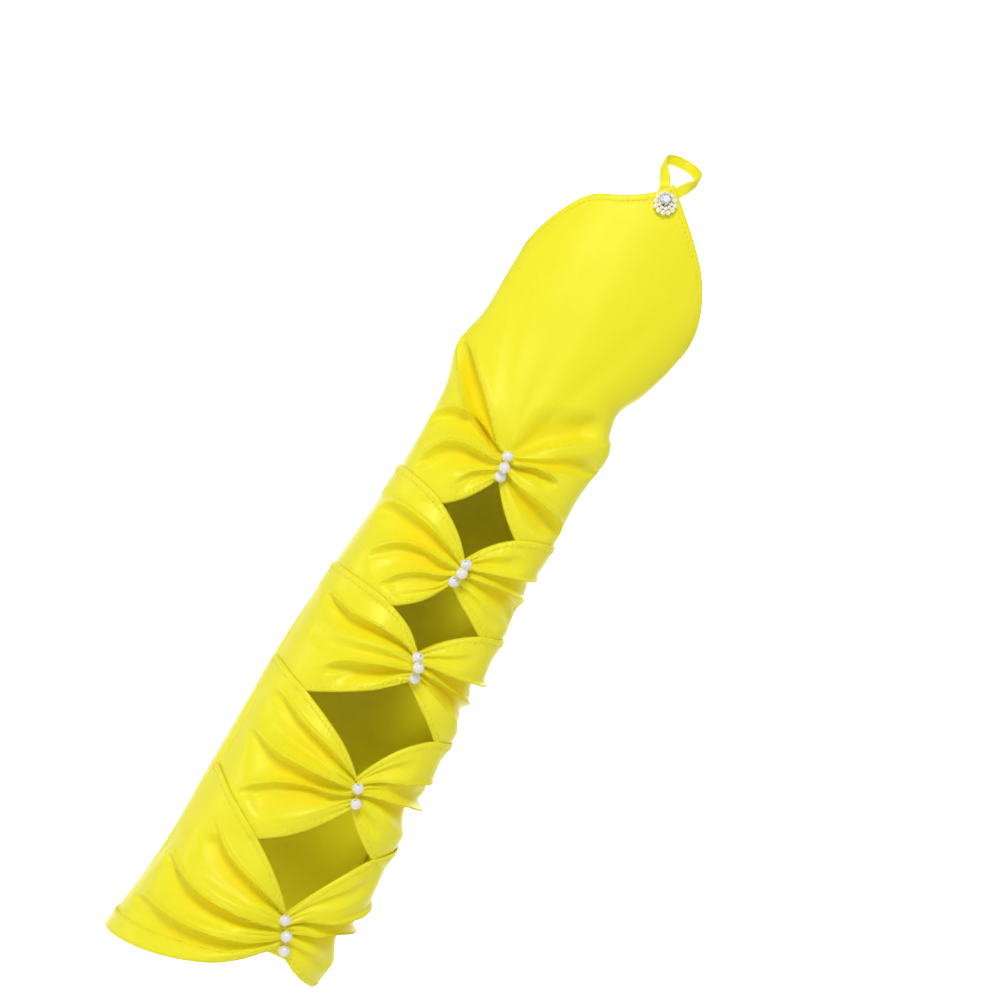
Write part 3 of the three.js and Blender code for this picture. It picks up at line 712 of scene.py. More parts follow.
def back_face(form):
    """Outer face of the plain back panel, from the right seam round to the left one."""
    across = 2 * np.linspace(0, 1, BACK_COLUMNS)[None, :] - 1
    share = 0.5 + 0.52 * np.sign(across) * np.abs(across) ** 0.8
    right, left = [float(form.spread(GATHERS[-1], np.array(side))[1]) for side in (1.0, -1.0)]

    def angle_at(height):
        from_right = form.angle_of(np.array(1.0), height)
        from_left = form.angle_of(np.array(-1.0), height) + 360
        return from_right + (from_left - from_right) * share

    hem = ramp(share, 0, 1, right, left)
    rim = form.upper_edge(angle_at(form.point_height - form.drop))
    height = hem + (rim - hem) * np.linspace(0, 1, BACK_ROWS)[:, None]
    arc = share * BACK_SPAN
    drag = 0.35 * soft_crumple(arc, height * 0.5, 41, 26) + 0.12 * soft_crumple(arc, height, 43, 9)
    reach = np.minimum(share, 1 - share) * BACK_SPAN
    pucker = 0.18 * np.sin(height * math.tau / 7.5) * np.exp(-np.maximum(reach, 0) / 5)
    lift = SOLID_WALL - 0.4 + drag * smoothstep(reach, 0, 12) + pucker
    points = form.point(angle_at(height), height, sewn_in(reach, lift))
    return hemmed(form, points), np.zeros(points.shape[:2])


def loop_line(form, finger):
    """Middle of the finger loop's ring, and its centre line from one tucked end to the other."""
    radius = finger / 2 + LOOP_EASE
    tip = form.point(form.point_angle, form.point_height, -LOOP_TUCK)
    centre = np.array([tip[0], tip[1] + radius, 0])
    middle = []
    for step in LOOP_PATH:
        around = math.radians(step.around)
        height = form.point_height + step.rise * finger
        x = centre[0] + radius * math.sin(around)
        y = centre[1] - radius * math.cos(around)
        if step.rise <= 0:
            width = form.half_width * float(form.section(height, "right"))
            x, y, _ = form.point(math.degrees(math.asin(x / width)), height, -LOOP_TUCK)
        middle.append((x, y, height))
    run = lengths_along(np.array(middle))
    knots = [StrapPoint(length, *place) for length, place in zip(run, middle)]
    at = np.linspace(0, run[-1], STRAP_COLUMNS)
    return centre, np.stack([along(knots, axis, at) for axis in "xyz"], axis=-1)


def strap_face(form, finger, width):
    """Outer face of the strap, which lies flat on the hand panel and turns to face out from the ring."""
    centre, line = loop_line(form, finger)
    tangent = unit(np.gradient(line, axis=0))
    free = smoothstep(line[:, 2], form.point_height, form.point_height + 0.25 * finger)[:, None]
    facing = np.array([[0, -1, 0]]) * (1 - free) + unit((line - centre) * (1, 1, 0)) * free
    across = unit(np.cross(facing, tangent))
    outward = np.cross(tangent, across)
    t = np.linspace(-1, 1, STRAP_ROWS)
    rounding = 0.42 * np.sqrt(np.maximum(1 - np.abs(t) ** 5, 0))
    ribs = 0.05 * np.cos(t * math.pi * 6)
    face = line[None] + across[None] * (t * width / 2)[:, None, None]
    return face + outward[None] * (rounding + ribs - 0.02)[:, None, None]


def sample(points, row, column):
    """Points of a grid at fractional rows and columns."""
    r = np.clip(row, 0, points.shape[0] - 1.001)
    c = np.clip(column, 0, points.shape[1] - 1.001)
    r0, c0 = r.astype(int), c.astype(int)
    fr, fc = (r - r0)[:, None], (c - c0)[:, None]
    low = points[r0, c0] * (1 - fc) + points[r0, c0 + 1] * fc
    high = points[r0 + 1, c0] * (1 - fc) + points[r0 + 1, c0 + 1] * fc
    return low * (1 - fr) + high * fr


def stitch_places(form, points, gather, from_top, first, last):
    """Places, directions and normals of the stitches along an edge, between two shares of its columns."""
    away = edge_distance(points, from_top)
    columns = np.arange(points.shape[1], dtype=float)
    order = away[::-1] if from_top else away
    hem = hem_widths(form, gather, from_top, len(columns))
    row = np.array([np.interp(hem[c], order[:, c], np.arange(len(order))) for c in range(len(columns))])
    if from_top:
        row = points.shape[0] - 1 - row

    def on_line(grid, column):
        return sample(grid, np.interp(column, columns, row), column)

    run = lengths_along(on_line(points, columns))
    start, end = first * run[-1], last * run[-1]
    at = start + (np.arange(int((end - start) / form.stitch)) + 0.5) * form.stitch
    column = np.interp(at, run, columns)
    direction = unit(on_line(points, column + 0.4) - on_line(points, column - 0.4))
    return on_line(points, column), direction, unit(on_line(grid_normals(points), column))


def clear_objects_selected():
    if bpy.context.object and bpy.context.object.mode != "OBJECT":
        bpy.ops.object.mode_set(mode="OBJECT")
    bpy.ops.object.select_all(action="DESELECT")


def select_vertices(piece, chosen):
    """Select the vertices that chosen says yes to, from edit mode's vertex mode."""
    bpy.ops.object.mode_set(mode="EDIT")
    bpy.ops.mesh.select_mode(type="VERT")
    bpy.ops.mesh.select_all(action="DESELECT")
    bpy.ops.object.mode_set(mode="OBJECT")
    for vertex in piece.data.vertices:
        vertex.select = bool(chosen(vertex.co))
    bpy.ops.object.mode_set(mode="EDIT")


def bake_place(piece, place):
    """Put a modelled piece where it belongs, with its object left at the origin."""
    piece.data.transform(place)
    piece.matrix_world = Matrix.Identity(4)
    piece.data.update()


def copy_of(pattern, name):
    """A copy of a modelled piece, with its own mesh."""
    piece = pattern.copy()
    piece.data = pattern.data.copy()
    piece.name = name
    bpy.context.scene.collection.objects.link(piece)
    return piece


def settle(piece, slot, *nodes):
    """A piece rides on the mitten and stands for its solids. The slot argument is not used."""
    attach(piece, "root")
    if nodes:
        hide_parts(*nodes)


def node_centre(node):
    low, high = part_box(node)
    return (Vector(low) + Vector(high)) / 2


def pearl_nodes(start):
    return sorted(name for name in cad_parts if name.startswith(start))


class NodeTree:
    """Short ways to add and join a material's nodes."""

    def __init__(self, name):
        self.material = bpy.data.materials.new(name)
        self.material.use_nodes = True
        self.nodes = self.material.node_tree.nodes
        self.links = self.material.node_tree.links
        self.shader = self.nodes["Principled BSDF"]

    def add(self, kind, **settings):
        node = self.nodes.new(kind)
        for key, value in settings.items():
            if key in node.inputs:
                node.inputs[key].default_value = value
            else:
                setattr(node, key, value)
        return node

    def join(self, source, target):
        self.links.new(source, target)

    def drive(self, source, name):
        """Join an output to one of the shader's inputs."""
        self.join(source, self.shader.inputs[name])

    def constants(self, **values):
        for key, value in values.items():
            self.shader.inputs[key.replace("_", " ")].default_value = value

    def noise(self, scale, detail, place=None, roughness=0.5):
        """A noise from 0 to 1, over the object unless a place is given."""
        if place is None:
            place = self.add("ShaderNodeTexCoord").outputs["Object"]
        cloud = self.add("ShaderNodeTexNoise", Scale=scale, Detail=detail, Roughness=roughness)
        self.join(place, cloud.inputs["Vector"])
        return cloud.outputs["Fac"]

    def attribute(self, name):
        return self.add("ShaderNodeAttribute", attribute_name=name).outputs["Fac"]

    def between(self, factor, low, high, start=0.0):
        """The factor, from start to 1, spread from low to high."""
        spread = self.add("ShaderNodeMapRange")
        spread.inputs["From Min"].default_value = start
        spread.inputs["To Min"].default_value = low
        spread.inputs["To Max"].default_value = high
        self.join(factor, spread.inputs["Value"])
        return spread.outputs["Result"]

    def blend(self, factor, colour, other):
        """The first colour where the factor is 0, the other where it is 1."""
        mix = self.add("ShaderNodeMix", data_type="RGBA")
        mix.inputs["A"].default_value = (*colour, 1)
        mix.inputs["B"].default_value = (*other, 1)
        self.join(factor, mix.inputs["Factor"])
        return mix.outputs["Result"]

    def relief(self, height, strength, distance):
        bumps = self.add("ShaderNodeBump", Strength=strength, Distance=distance)
        self.join(height, bumps.inputs["Height"])
        self.drive(bumps.outputs["Normal"], "Normal")


def dimmed(colour, share):
    return [share * part for part in colour]


def satin(tree, colours):
    """Satin: a lemon face with golden painted shade in the folds, long floats of thread and a soft sheen."""
    flat = tree.add("ShaderNodeUVMap", uv_map="cloth").outputs["UV"]
    stretch = tree.add("ShaderNodeMapping", Scale=(260, 2600, 1))
    tree.join(flat, stretch.inputs["Vector"])
    floats = tree.noise(1.0, 3.0, stretch.outputs["Vector"], 0.6)
    # The fold_depth attribute sets where the golden painted shade goes; the same mask also makes the folds
    # rougher.
    painted_shade_mask = tree.between(tree.attribute("fold_depth"), 0, 0.95, 0.15)
    slub = tree.add("ShaderNodeMix", data_type="RGBA", blend_type="MULTIPLY")
    slub.inputs["Factor"].default_value = 1.0
    tree.join(tree.blend(painted_shade_mask, colours.satin, colours.satin_painted_shade), slub.inputs["A"])
    tree.join(tree.between(floats, 0.93, 1.03), slub.inputs["B"])
    tree.drive(slub.outputs["Result"], "Base Color")
    dull = tree.add("ShaderNodeMath", operation="MULTIPLY_ADD")
    dull.inputs[1].default_value = 0.28
    tree.join(painted_shade_mask, dull.inputs[0])
    tree.join(tree.between(tree.noise(55.0, 2.0, flat), 0.34, 0.44), dull.inputs[2])
    tree.drive(dull.outputs["Value"], "Roughness")
    tree.relief(floats, 0.28, 0.00012)
    tree.constants(Specular_IOR_Level=0.55, Specular_Tint=(1.0, 0.98, 0.45, 1))


def thread(tree, colours):
    """Sewing thread: twisted strands in the satin's colour."""
    twist = tree.add("ShaderNodeTexWave", Scale=900.0, Distortion=1.5)
    tree.join(tree.add("ShaderNodeTexCoord").outputs["Object"], twist.inputs["Vector"])
    strands = twist.outputs["Fac"]
    tree.drive(tree.blend(strands, dimmed(colours.thread, 0.88), colours.thread), "Base Color")
    tree.relief(strands, 0.3, 0.0001)
    tree.constants(Roughness=0.5, Sheen_Weight=0.2)


def pearl(tree, colours):
    """Imitation pearl: a clear coat over a faintly cloudy white body."""
    cloud = tree.noise(420.0, 3.0)
    tree.drive(tree.blend(cloud, colours.pearl, colours.pearl_shade), "Base Color")
    tree.drive(tree.between(cloud, 0.16, 0.28), "Roughness")
    tree.constants(Coat_Weight=0.8, Coat_Roughness=0.06, Specular_IOR_Level=0.6)


def bead(tree, colours):
    """Pale glass beads that take up the satin's colour."""
    cloud = tree.noise(700.0, 2.0)
    tree.drive(tree.blend(cloud, colours.bead, dimmed(colours.bead, 0.9)), "Base Color")
    tree.constants(Roughness=0.25, Coat_Weight=0.4, Coat_Roughness=0.04)


def metal(tree, colours):
    """The button's cast cup: bright plating with fine scratches."""
    tree.drive(tree.between(tree.noise(900.0, 4.0), 0.3, 0.45), "Roughness")
    tree.constants(Base_Color=(*colours.metal, 1), Metallic=1.0)


def crystal(tree, colours):
    """Cut crystal with painted reflections: bright and dark facets."""
    tree.drive(tree.between(tree.noise(600.0, 2.0), 0.0, 0.05), "Roughness")
    # The facet attribute paints the reflections: bright on the table, dark to bright on the other facets.
    facets = tree.attribute("facet_painted_glint")
    tree.drive(tree.blend(facets, colours.crystal_painted_dark, colours.crystal), "Base Color")
    tree.constants(IOR=1.6, Metallic=0.15, Coat_Weight=1.0, Coat_Roughness=0.02)


def paper(tree, colours):
    """The studio's matt backdrop, with a faint fibre."""
    fibre = tree.noise(40.0, 3.0)
    tree.drive(tree.blend(fibre, colours.backdrop, dimmed(colours.backdrop, 0.985)), "Base Color")
    tree.constants(Roughness=0.9)


MATERIALS = {
    "mitten_satin": satin,
    "mitten_thread": thread,
    "mitten_pearl": pearl,
    "mitten_bead": bead,
    "mitten_metal": metal,
    "mitten_crystal": crystal,
    "studio_paper": paper,
}


def finish(name):
    """The material of that name, made once."""
    if name not in bpy.data.materials:
        MATERIALS[name](NodeTree(name), bpy.context.scene.mitten_colours)
    return bpy.data.materials[name]


def mesh_object(name, vertices, faces, material):
    """A smooth object at the origin, from vertices in millimetres."""
    mesh = bpy.data.meshes.new(name)
    mesh.from_pydata((vertices * MM).tolist(), [], faces)
    mesh.materials.append(finish(material))
    mesh.shade_smooth()
    piece = bpy.data.objects.new(name, mesh)
    bpy.context.scene.collection.objects.link(piece)
    return piece


def rim_places(rows, columns):
    """Rows and columns of a grid's outermost points, once round it."""
    loop = [(0, c) for c in range(columns)]
    loop += [(r, columns - 1) for r in range(1, rows)]
    loop += [(rows - 1, c) for c in range(columns - 2, -1, -1)]
    loop += [(r, 0) for r in range(rows - 2, 0, -1)]
    return np.array(loop).T


def cloth_wall(outer, thickness):
    """Vertices and faces of a closed wall of cloth with a rounded rim, and the grid point of each vertex."""
    rows, columns = outer.shape[:2]
    count = rows * columns
    normals = grid_normals(outer)
    middle = outer - normals * thickness / 2
    r, c = rim_places(rows, columns)
    outward = unit(middle[r, c] - middle[np.clip(r, 1, rows - 2), np.clip(c, 1, columns - 2)])
    rim = middle[r, c] + outward * thickness * 0.45
    vertices = np.concatenate([outer.reshape(-1, 3), (outer - normals * thickness).reshape(-1, 3), rim])
    index = np.arange(count).reshape(rows, columns)
    corners = [index[:-1, :-1], index[:-1, 1:], index[1:, 1:], index[1:, :-1]]
    front = np.stack(corners, axis=-1).reshape(-1, 4)
    edge = index[r, c]
    after = np.roll(edge, -1)
    rims = 2 * count + np.arange(len(edge))
    rims_after = np.roll(rims, -1)
    outer_side = np.stack([after, edge, rims, rims_after], axis=-1)
    inner_side = np.stack([rims_after, rims, edge + count, after + count], axis=-1)
    faces = np.concatenate([front, front[:, ::-1] + count, outer_side, inner_side])
    return vertices, faces, np.concatenate([index.ravel(), index.ravel(), edge])


def add_cloth(name, node, outer, depth, form):
    """A sheet of satin from its outer face, with a flat UV map and its fold depth, which carries the painted
    shade.
    """
    vertices, faces, source = cloth_wall(outer, form.cloth)
    piece = mesh_object(name, vertices, faces.tolist(), "mitten_satin")
    mesh = piece.data
    flat = np.stack([lengths_along(outer, 1), lengths_along(outer, 0)], axis=-1).reshape(-1, 2) * MM
    corner = np.empty(len(mesh.loops), int)
    mesh.loops.foreach_get("vertex_index", corner)
    mesh.uv_layers.new(name="cloth").data.foreach_set("uv", flat[source][corner].ravel())
    # The fold depth sets the golden painted shade in the satin's colour.
    fold = mesh.attributes.new("fold_depth", "FLOAT", "POINT")
    fold.data.foreach_set("value", depth.ravel()[source].astype(np.float32))
    mesh.validate()
    settle(piece, "satin", node)


def one_stitch(form):
    """A short bolster of thread, modelled once: its vertices, along X, and its faces."""
    clear_objects_selected()
    bpy.ops.mesh.primitive_uv_sphere_add(segments=6, ring_count=5, radius=0.5)
    ball = bpy.context.object
    bpy.ops.object.mode_set(mode="EDIT")
    bpy.ops.mesh.select_all(action="SELECT")
    bpy.ops.transform.resize(value=(form.stitch * 0.74, STITCH_WIDTH, STITCH_HEIGHT))
    bpy.ops.object.mode_set(mode="OBJECT")
    vertices = np.array([tuple(v.co) for v in ball.data.vertices])
    faces = [tuple(p.vertices) for p in ball.data.polygons]
    bpy.data.objects.remove(ball)
    return vertices, faces


def stitched(name, form, runs):
    """One mesh of all the stitches of a piece."""
    vertices, faces = one_stitch(form)
    place, direction, normal = [np.concatenate(parts) for parts in zip(*runs)]
    across = unit(np.cross(normal, direction))
    turn = np.stack([direction, across, np.cross(direction, across)], axis=1)
    stitches = vertices @ turn + (place + normal * STITCH_LIFT)[:, None]
    starts = range(0, len(place) * len(vertices), len(vertices))
    all_faces = [tuple(k + start for k in face) for start in starts for face in faces]
    settle(mesh_object(name, stitches.reshape(-1, 3), all_faces, "mitten_thread"), "satin")


def drilled_ball(radius, material, segments):
    """A ball drilled along Z, with a slightly sunk rim at each mouth."""
    clear_objects_selected()
    bpy.ops.mesh.primitive_uv_sphere_add(segments=segments, ring_count=segments * 3 // 4, radius=radius)
    ball = bpy.context.object
    mouth = radius * math.cos(math.radians(MOUTH_ANGLE))
    select_vertices(ball, lambda co: abs(co.z) > mouth)
    bpy.ops.mesh.delete(type="VERT")
    bpy.ops.mesh.select_mode(type="EDGE")
    bpy.ops.mesh.select_non_manifold()
    bpy.ops.mesh.extrude_region_move()
    bpy.ops.transform.resize(value=(BORE, BORE, MOUTH_SINK))
    bpy.ops.mesh.bridge_edge_loops()
    bpy.ops.mesh.select_all(action="SELECT")
    bpy.ops.mesh.normals_make_consistent(inside=False)
    bpy.ops.object.mode_set(mode="OBJECT")
    bpy.ops.object.shade_smooth_by_angle(angle=math.radians(40))
    ball.data.materials.append(finish(material))
    return ball


def length_property(name, description, default):
    return bpy.props.FloatProperty(name=name, description=description, default=default, subtype="DISTANCE")


def colour_property(name, description, default):
    return bpy.props.FloatVectorProperty(
        name=name, description=description, default=default, subtype="COLOR", min=0, max=1
    )


class MittenSizes(bpy.types.PropertyGroup):
    sleeve_length: length_property("Sleeve length", "Elbow hem to the gather at the wrist", 0.268)
    hand_length: length_property("Hand length", "Gather at the wrist to the point", 0.150)
    wrist_drop: length_property("Wrist drop", "Fall of the upper edge behind the point", 0.102)
    elbow_width: length_property("Elbow width", "Width of the sleeve at its hem", 0.096)
    elbow_depth: length_property("Elbow depth", "Depth of the sleeve at its hem", 0.076)
    band_height: length_property("Band height", "Cut height of a ruched band", 0.066)
    gather_height: length_property("Gather height", "Height that a band is drawn in to", 0.013)
    fold_depth: length_property("Fold depth", "Depth of the main folds", 0.005)
    puff_height: length_property("Puff", "How far the wings of a piece puff out", 0.0060)
    cloth_thickness: length_property("Cloth thickness", "Thickness of the faced satin", 0.0008)
    hem_width: length_property("Hem width", "Edge to the row of stitches", 0.0027)
    elbow_hem: length_property("Elbow hem", "How much wider the hem at the elbow is", 0.0068)
    stitch_length: length_property("Stitch length", "Pitch of the topstitching", 0.0023)
    loop_width: length_property("Loop width", "Width of the finger loop's strap", 0.005)
    finger_diameter: length_property("Finger diameter", "Diameter that the loop goes round", 0.0175)


class MittenColours(bpy.types.PropertyGroup):
    satin: colour_property("Satin", "Face of the satin", (0.93, 0.86, 0.022))
    # Painted shade: the golden colour that the satin is painted deep in its folds.
    satin_painted_shade: colour_property("Satin in folds", "Satin deep in a fold", (0.95, 0.77, 0.0))
    thread: colour_property("Thread", "Topstitching", (0.95, 0.86, 0.04))
    pearl: colour_property("Pearl", "Body of the pearls", (0.90, 0.88, 0.85))
    pearl_shade: colour_property("Pearl cloud", "Cloudy patches in the pearls", (0.80, 0.77, 0.74))
    bead: colour_property("Bead", "Glass beads round the button", (1.0, 0.99, 0.74))
    metal: colour_property("Metal", "Plating of the button", (0.86, 0.85, 0.66))
    # The stone's two colours are painted reflections on its facets, bright and dark.
    crystal: colour_property("Crystal", "Bright facets of the button's stone", (0.95, 0.96, 1.0))
    crystal_painted_dark: colour_property("Crystal shade", "Dark facets of the button's stone", (0.2, 0.21, 0.25))
    backdrop: colour_property("Backdrop", "Floor and surroundings", (0.92, 0.92, 0.92))


class MITTEN_OT_hand_panel(bpy.types.Operator):
    """Build the pointed satin hand panel"""

    bl_idname = "mitten.hand_panel"
    bl_label = "Hand panel"

    def execute(self, context):
        form = Sleeve(context.scene.mitten_sizes)
        face, depth = gathered_face(form, GATHERS[0])
        add_cloth("hand_panel_satin", "hand_panel", face, depth, form)
        return {"FINISHED"}


class MITTEN_OT_ruched_bands(bpy.types.Operator):
    """Build the four ruched bands of the sleeve"""

    bl_idname = "mitten.ruched_bands"
    bl_label = "Ruched bands"

    def execute(self, context):
        form = Sleeve(context.scene.mitten_sizes)
        for gather in GATHERS[1:]:
            face, depth = gathered_face(form, gather)
            add_cloth(f"{gather.node}_satin", gather.node, face, depth, form)
        return {"FINISHED"}


class MITTEN_OT_back_panel(bpy.types.Operator):
    """Build the plain satin panel down the back of the sleeve"""

    bl_idname = "mitten.back_panel"
    bl_label = "Back panel"

    def execute(self, context):
        form = Sleeve(context.scene.mitten_sizes)
        face, depth = back_face(form)
        add_cloth("back_panel_satin", "back_panel", face, depth, form)
        return {"FINISHED"}


class MITTEN_OT_finger_loop(bpy.types.Operator):
    """Build the flat satin strap of the finger loop"""

    bl_idname = "mitten.finger_loop"
    bl_label = "Finger loop"

    def execute(self, context):
        sizes = context.scene.mitten_sizes
        form = Sleeve(sizes)
        face = strap_face(form, sizes.finger_diameter / MM, sizes.loop_width / MM)
        depth = np.zeros(face.shape[:2])
        add_cloth("finger_loop_strap", "finger_loop", face, depth, form)
        return {"FINISHED"}


class MITTEN_OT_topstitching(bpy.types.Operator):
    """Sew the hems of the bands and panels"""

    bl_idname = "mitten.topstitching"
    bl_label = "Topstitching"

    def execute(self, context):
        form = Sleeve(context.scene.mitten_sizes)
        for gather in GATHERS:
            face, _ = gathered_face(form, gather)
            runs = []
            for from_top in (True, False):
                whole = from_top and gather.node == "hand_panel"
                for first, last in WHOLE_EDGE if whole else GATHERED_EDGE:
                    runs.append(stitch_places(form, face, gather, from_top, first, last))
            stitched(f"{gather.node}_stitches", form, runs)
        face, _ = back_face(form)
        runs = [stitch_places(form, face, None, from_top, *WHOLE_EDGE[0]) for from_top in (True, False)]
        stitched("back_panel_stitches", form, runs)
        return {"FINISHED"}


class MITTEN_OT_pearls(bpy.types.Operator):
    """Make the drilled pearls that are sewn on the gathers"""

    bl_idname = "mitten.pearls"
    bl_label = "Pearls"

    def execute(self, context):
        nodes = pearl_nodes("pearl_")
        low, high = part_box(nodes[0])
        rng = np.random.RandomState(12)
        pattern = drilled_ball((high[2] - low[2]) / 2, "mitten_pearl", 32)
        for node in nodes:
            piece = copy_of(pattern, f"{node}_bead")
            tilt = Matrix.Rotation(rng.uniform(0.15, 0.9), 4, "X")
            turn = Matrix.Rotation(rng.uniform(-0.7, 0.7), 4, "Y")
            bake_place(piece, Matrix.Translation(node_centre(node)) @ turn @ tilt)
            settle(piece, "pearl", node)
        bpy.data.objects.remove(pattern)
        return {"FINISHED"}


class MITTEN_OT_gather_threads(bpy.types.Operator):
    """Run the sewing thread through each row of pearls"""

    bl_idname = "mitten.gather_threads"
    bl_label = "Gather threads"

    def execute(self, context):
        form = Sleeve(context.scene.mitten_sizes)
        for index, gather in enumerate(GATHERS, 1):
            centres = sorted(map(node_centre, pearl_nodes(f"pearl_{index}_")), key=lambda c: -c.z)
            tie = form.height_of(gather.station)
            angle = float(form.section(tie, "turn"))
            half = form.waist * gather.waist / 2 * 0.86
            top, foot = [Vector(form.point(angle, tie + side * half, -0.6) * MM) for side in (1, -1)]
            self.sew(context, f"gather_thread_{index}", [top, *centres, foot])
        return {"FINISHED"}

    def sew(self, context, name, route):
        clear_objects_selected()
        curve = bpy.data.curves.new(name, "CURVE")
        curve.dimensions = "3D"
        curve.bevel_depth = THREAD_RADIUS
        curve.bevel_resolution = 2
        curve.use_fill_caps = True
        spline = curve.splines.new("POLY")
        spline.points.add(len(route) - 1)
        for point, place in zip(spline.points, route):
            point.co = (*place, 1)
        piece = bpy.data.objects.new(name, curve)
        bpy.context.scene.collection.objects.link(piece)
        piece.select_set(True)
        context.view_layer.objects.active = piece
        bpy.ops.object.convert(target="MESH")
        context.object.data.materials.append(finish("mitten_thread"))
        settle(context.object, "satin")


class MITTEN_OT_button(bpy.types.Operator):
    """Build the jewelled button: a beaded ring, claws and a cut stone"""

    bl_idname = "mitten.button"
    bl_label = "Button"

    def execute(self, context):
        setting = node_centre("button_setting")
        stone = node_centre("button_stone")
        out = (stone - setting).normalized()
        if out.length < 0.5:
            raise RuntimeError("the stone lies in the middle of its setting")
        place = Matrix.Translation(setting) @ out.to_track_quat("Z", "Y").to_matrix().to_4x4()
        low = Matrix.Translation(RING_SHIFT) @ place
        high = Matrix.Translation(STONE_SHIFT) @ place
        self.cup(low)
        for row in BEAD_ROWS:
            pattern = drilled_ball(row.radius, "mitten_bead", 20)
            self.ring_of(pattern, f"button_{row.name}_bead", row.count, row.reach, row.rise, low)
        self.claws(high)
        self.stone(high, (stone - setting).length)
        return {"FINISHED"}

    def extrude(self, rise):
        bpy.ops.mesh.extrude_region_move(TRANSFORM_OT_translate={"value": (0, 0, rise)})

    def cup(self, place):
        """The cast cup under the beads, with a raised middle that is sunk for the stone."""
        clear_objects_selected()
        sink = (0, 0, -CUP_SINK)
        bpy.ops.mesh.primitive_cylinder_add(vertices=64, radius=CUP_RADIUS, depth=CUP_HEIGHT, location=sink)
        base = bpy.context.object
        select_vertices(base, lambda co: co.z > 0)
        bpy.ops.mesh.select_mode(type="FACE")
        bpy.ops.mesh.inset(thickness=CUP_RIM)
        self.extrude(CUP_RISE)
        bpy.ops.mesh.inset(thickness=CUP_LEDGE)
        self.extrude(-CUP_SEAT)
        bpy.ops.object.mode_set(mode="OBJECT")
        bpy.ops.object.modifier_add(type="BEVEL")
        base.modifiers[-1].width = 0.00012
        base.modifiers[-1].segments = 2
        bpy.ops.object.modifier_apply(modifier=base.modifiers[-1].name)
        bpy.ops.object.shade_smooth_by_angle(angle=math.radians(35))
        base.name = "button_cup"
        base.data.materials.append(finish("mitten_metal"))
        bake_place(base, place @ Matrix.Translation(sink))
        settle(base, "setting", "button_setting")

    def claws(self, place):
        """Domed pegs that hold the stone's girdle."""
        clear_objects_selected()
        bpy.ops.mesh.primitive_uv_sphere_add(segments=12, ring_count=8, radius=CLAW_RADIUS)
        peg = bpy.context.object
        select_vertices(peg, lambda co: co.z < 0)
        bpy.ops.transform.translate(value=(0, 0, -CLAW_LENGTH))
        bpy.ops.object.mode_set(mode="OBJECT")
        bpy.ops.object.shade_smooth()
        peg.data.materials.append(finish("mitten_metal"))
        self.ring_of(peg, "button_claw", CLAW_COUNT, CLAW_REACH, CLAW_RISE, place)

    def ring_of(self, pattern, name, count, reach, rise, place):
        """Copies of a modelled piece, evenly round the button's axis."""
        for i in range(count):
            a = math.tau * (i + 0.5) / count
            piece = copy_of(pattern, f"{name}_{i + 1}")
            spot = Matrix.Translation((reach * math.cos(a), reach * math.sin(a), rise))
            bake_place(piece, place @ spot)
            settle(piece, "setting")
        bpy.data.objects.remove(pattern)

    def stone(self, place, rise):
        """The cut stone: a crown with a turned table above its girdle, and a pavilion below."""
        clear_objects_selected()
        bpy.ops.mesh.primitive_cylinder_add(vertices=STONE_SIDES, radius=STONE_RADIUS, depth=GIRDLE)
        stone = bpy.context.object
        stone.name = "button_brilliant"
        select_vertices(stone, lambda co: co.z > 0)
        bpy.ops.mesh.select_mode(type="FACE")
        self.extrude(0.0006)
        bpy.ops.transform.resize(value=(0.8, 0.8, 1))
        half_side = math.tau / STONE_SIDES / 2
        bpy.ops.transform.rotate(value=half_side, orient_axis="Z", center_override=(0, 0, 0))
        self.extrude(0.0004)
        bpy.ops.transform.resize(value=(0.72, 0.72, 1))
        bpy.ops.object.mode_set(mode="OBJECT")
        select_vertices(stone, lambda co: co.z < 0)
        bpy.ops.mesh.select_mode(type="FACE")
        self.extrude(-0.0012)
        bpy.ops.transform.resize(value=(0.15, 0.15, 1))
        bpy.ops.mesh.select_all(action="SELECT")
        bpy.ops.mesh.quads_convert_to_tris()
        bpy.ops.object.mode_set(mode="OBJECT")
        # Painted reflections: the table is painted bright and the other facets in a fixed spread from dark to
        # bright.
        facets = stone.data.attributes.new("facet_painted_glint", "FLOAT", "FACE")
        for face in stone.data.polygons:
            turned = face.index * 5 % 7 / 6
            facets.data[face.index].value = 1.0 if face.normal.z > 0.95 else turned
        stone.data.materials.append(finish("mitten_crystal"))
        bake_place(stone, place @ Matrix.Translation((0, 0, rise)))
        settle(stone, "stone", "button_stone")


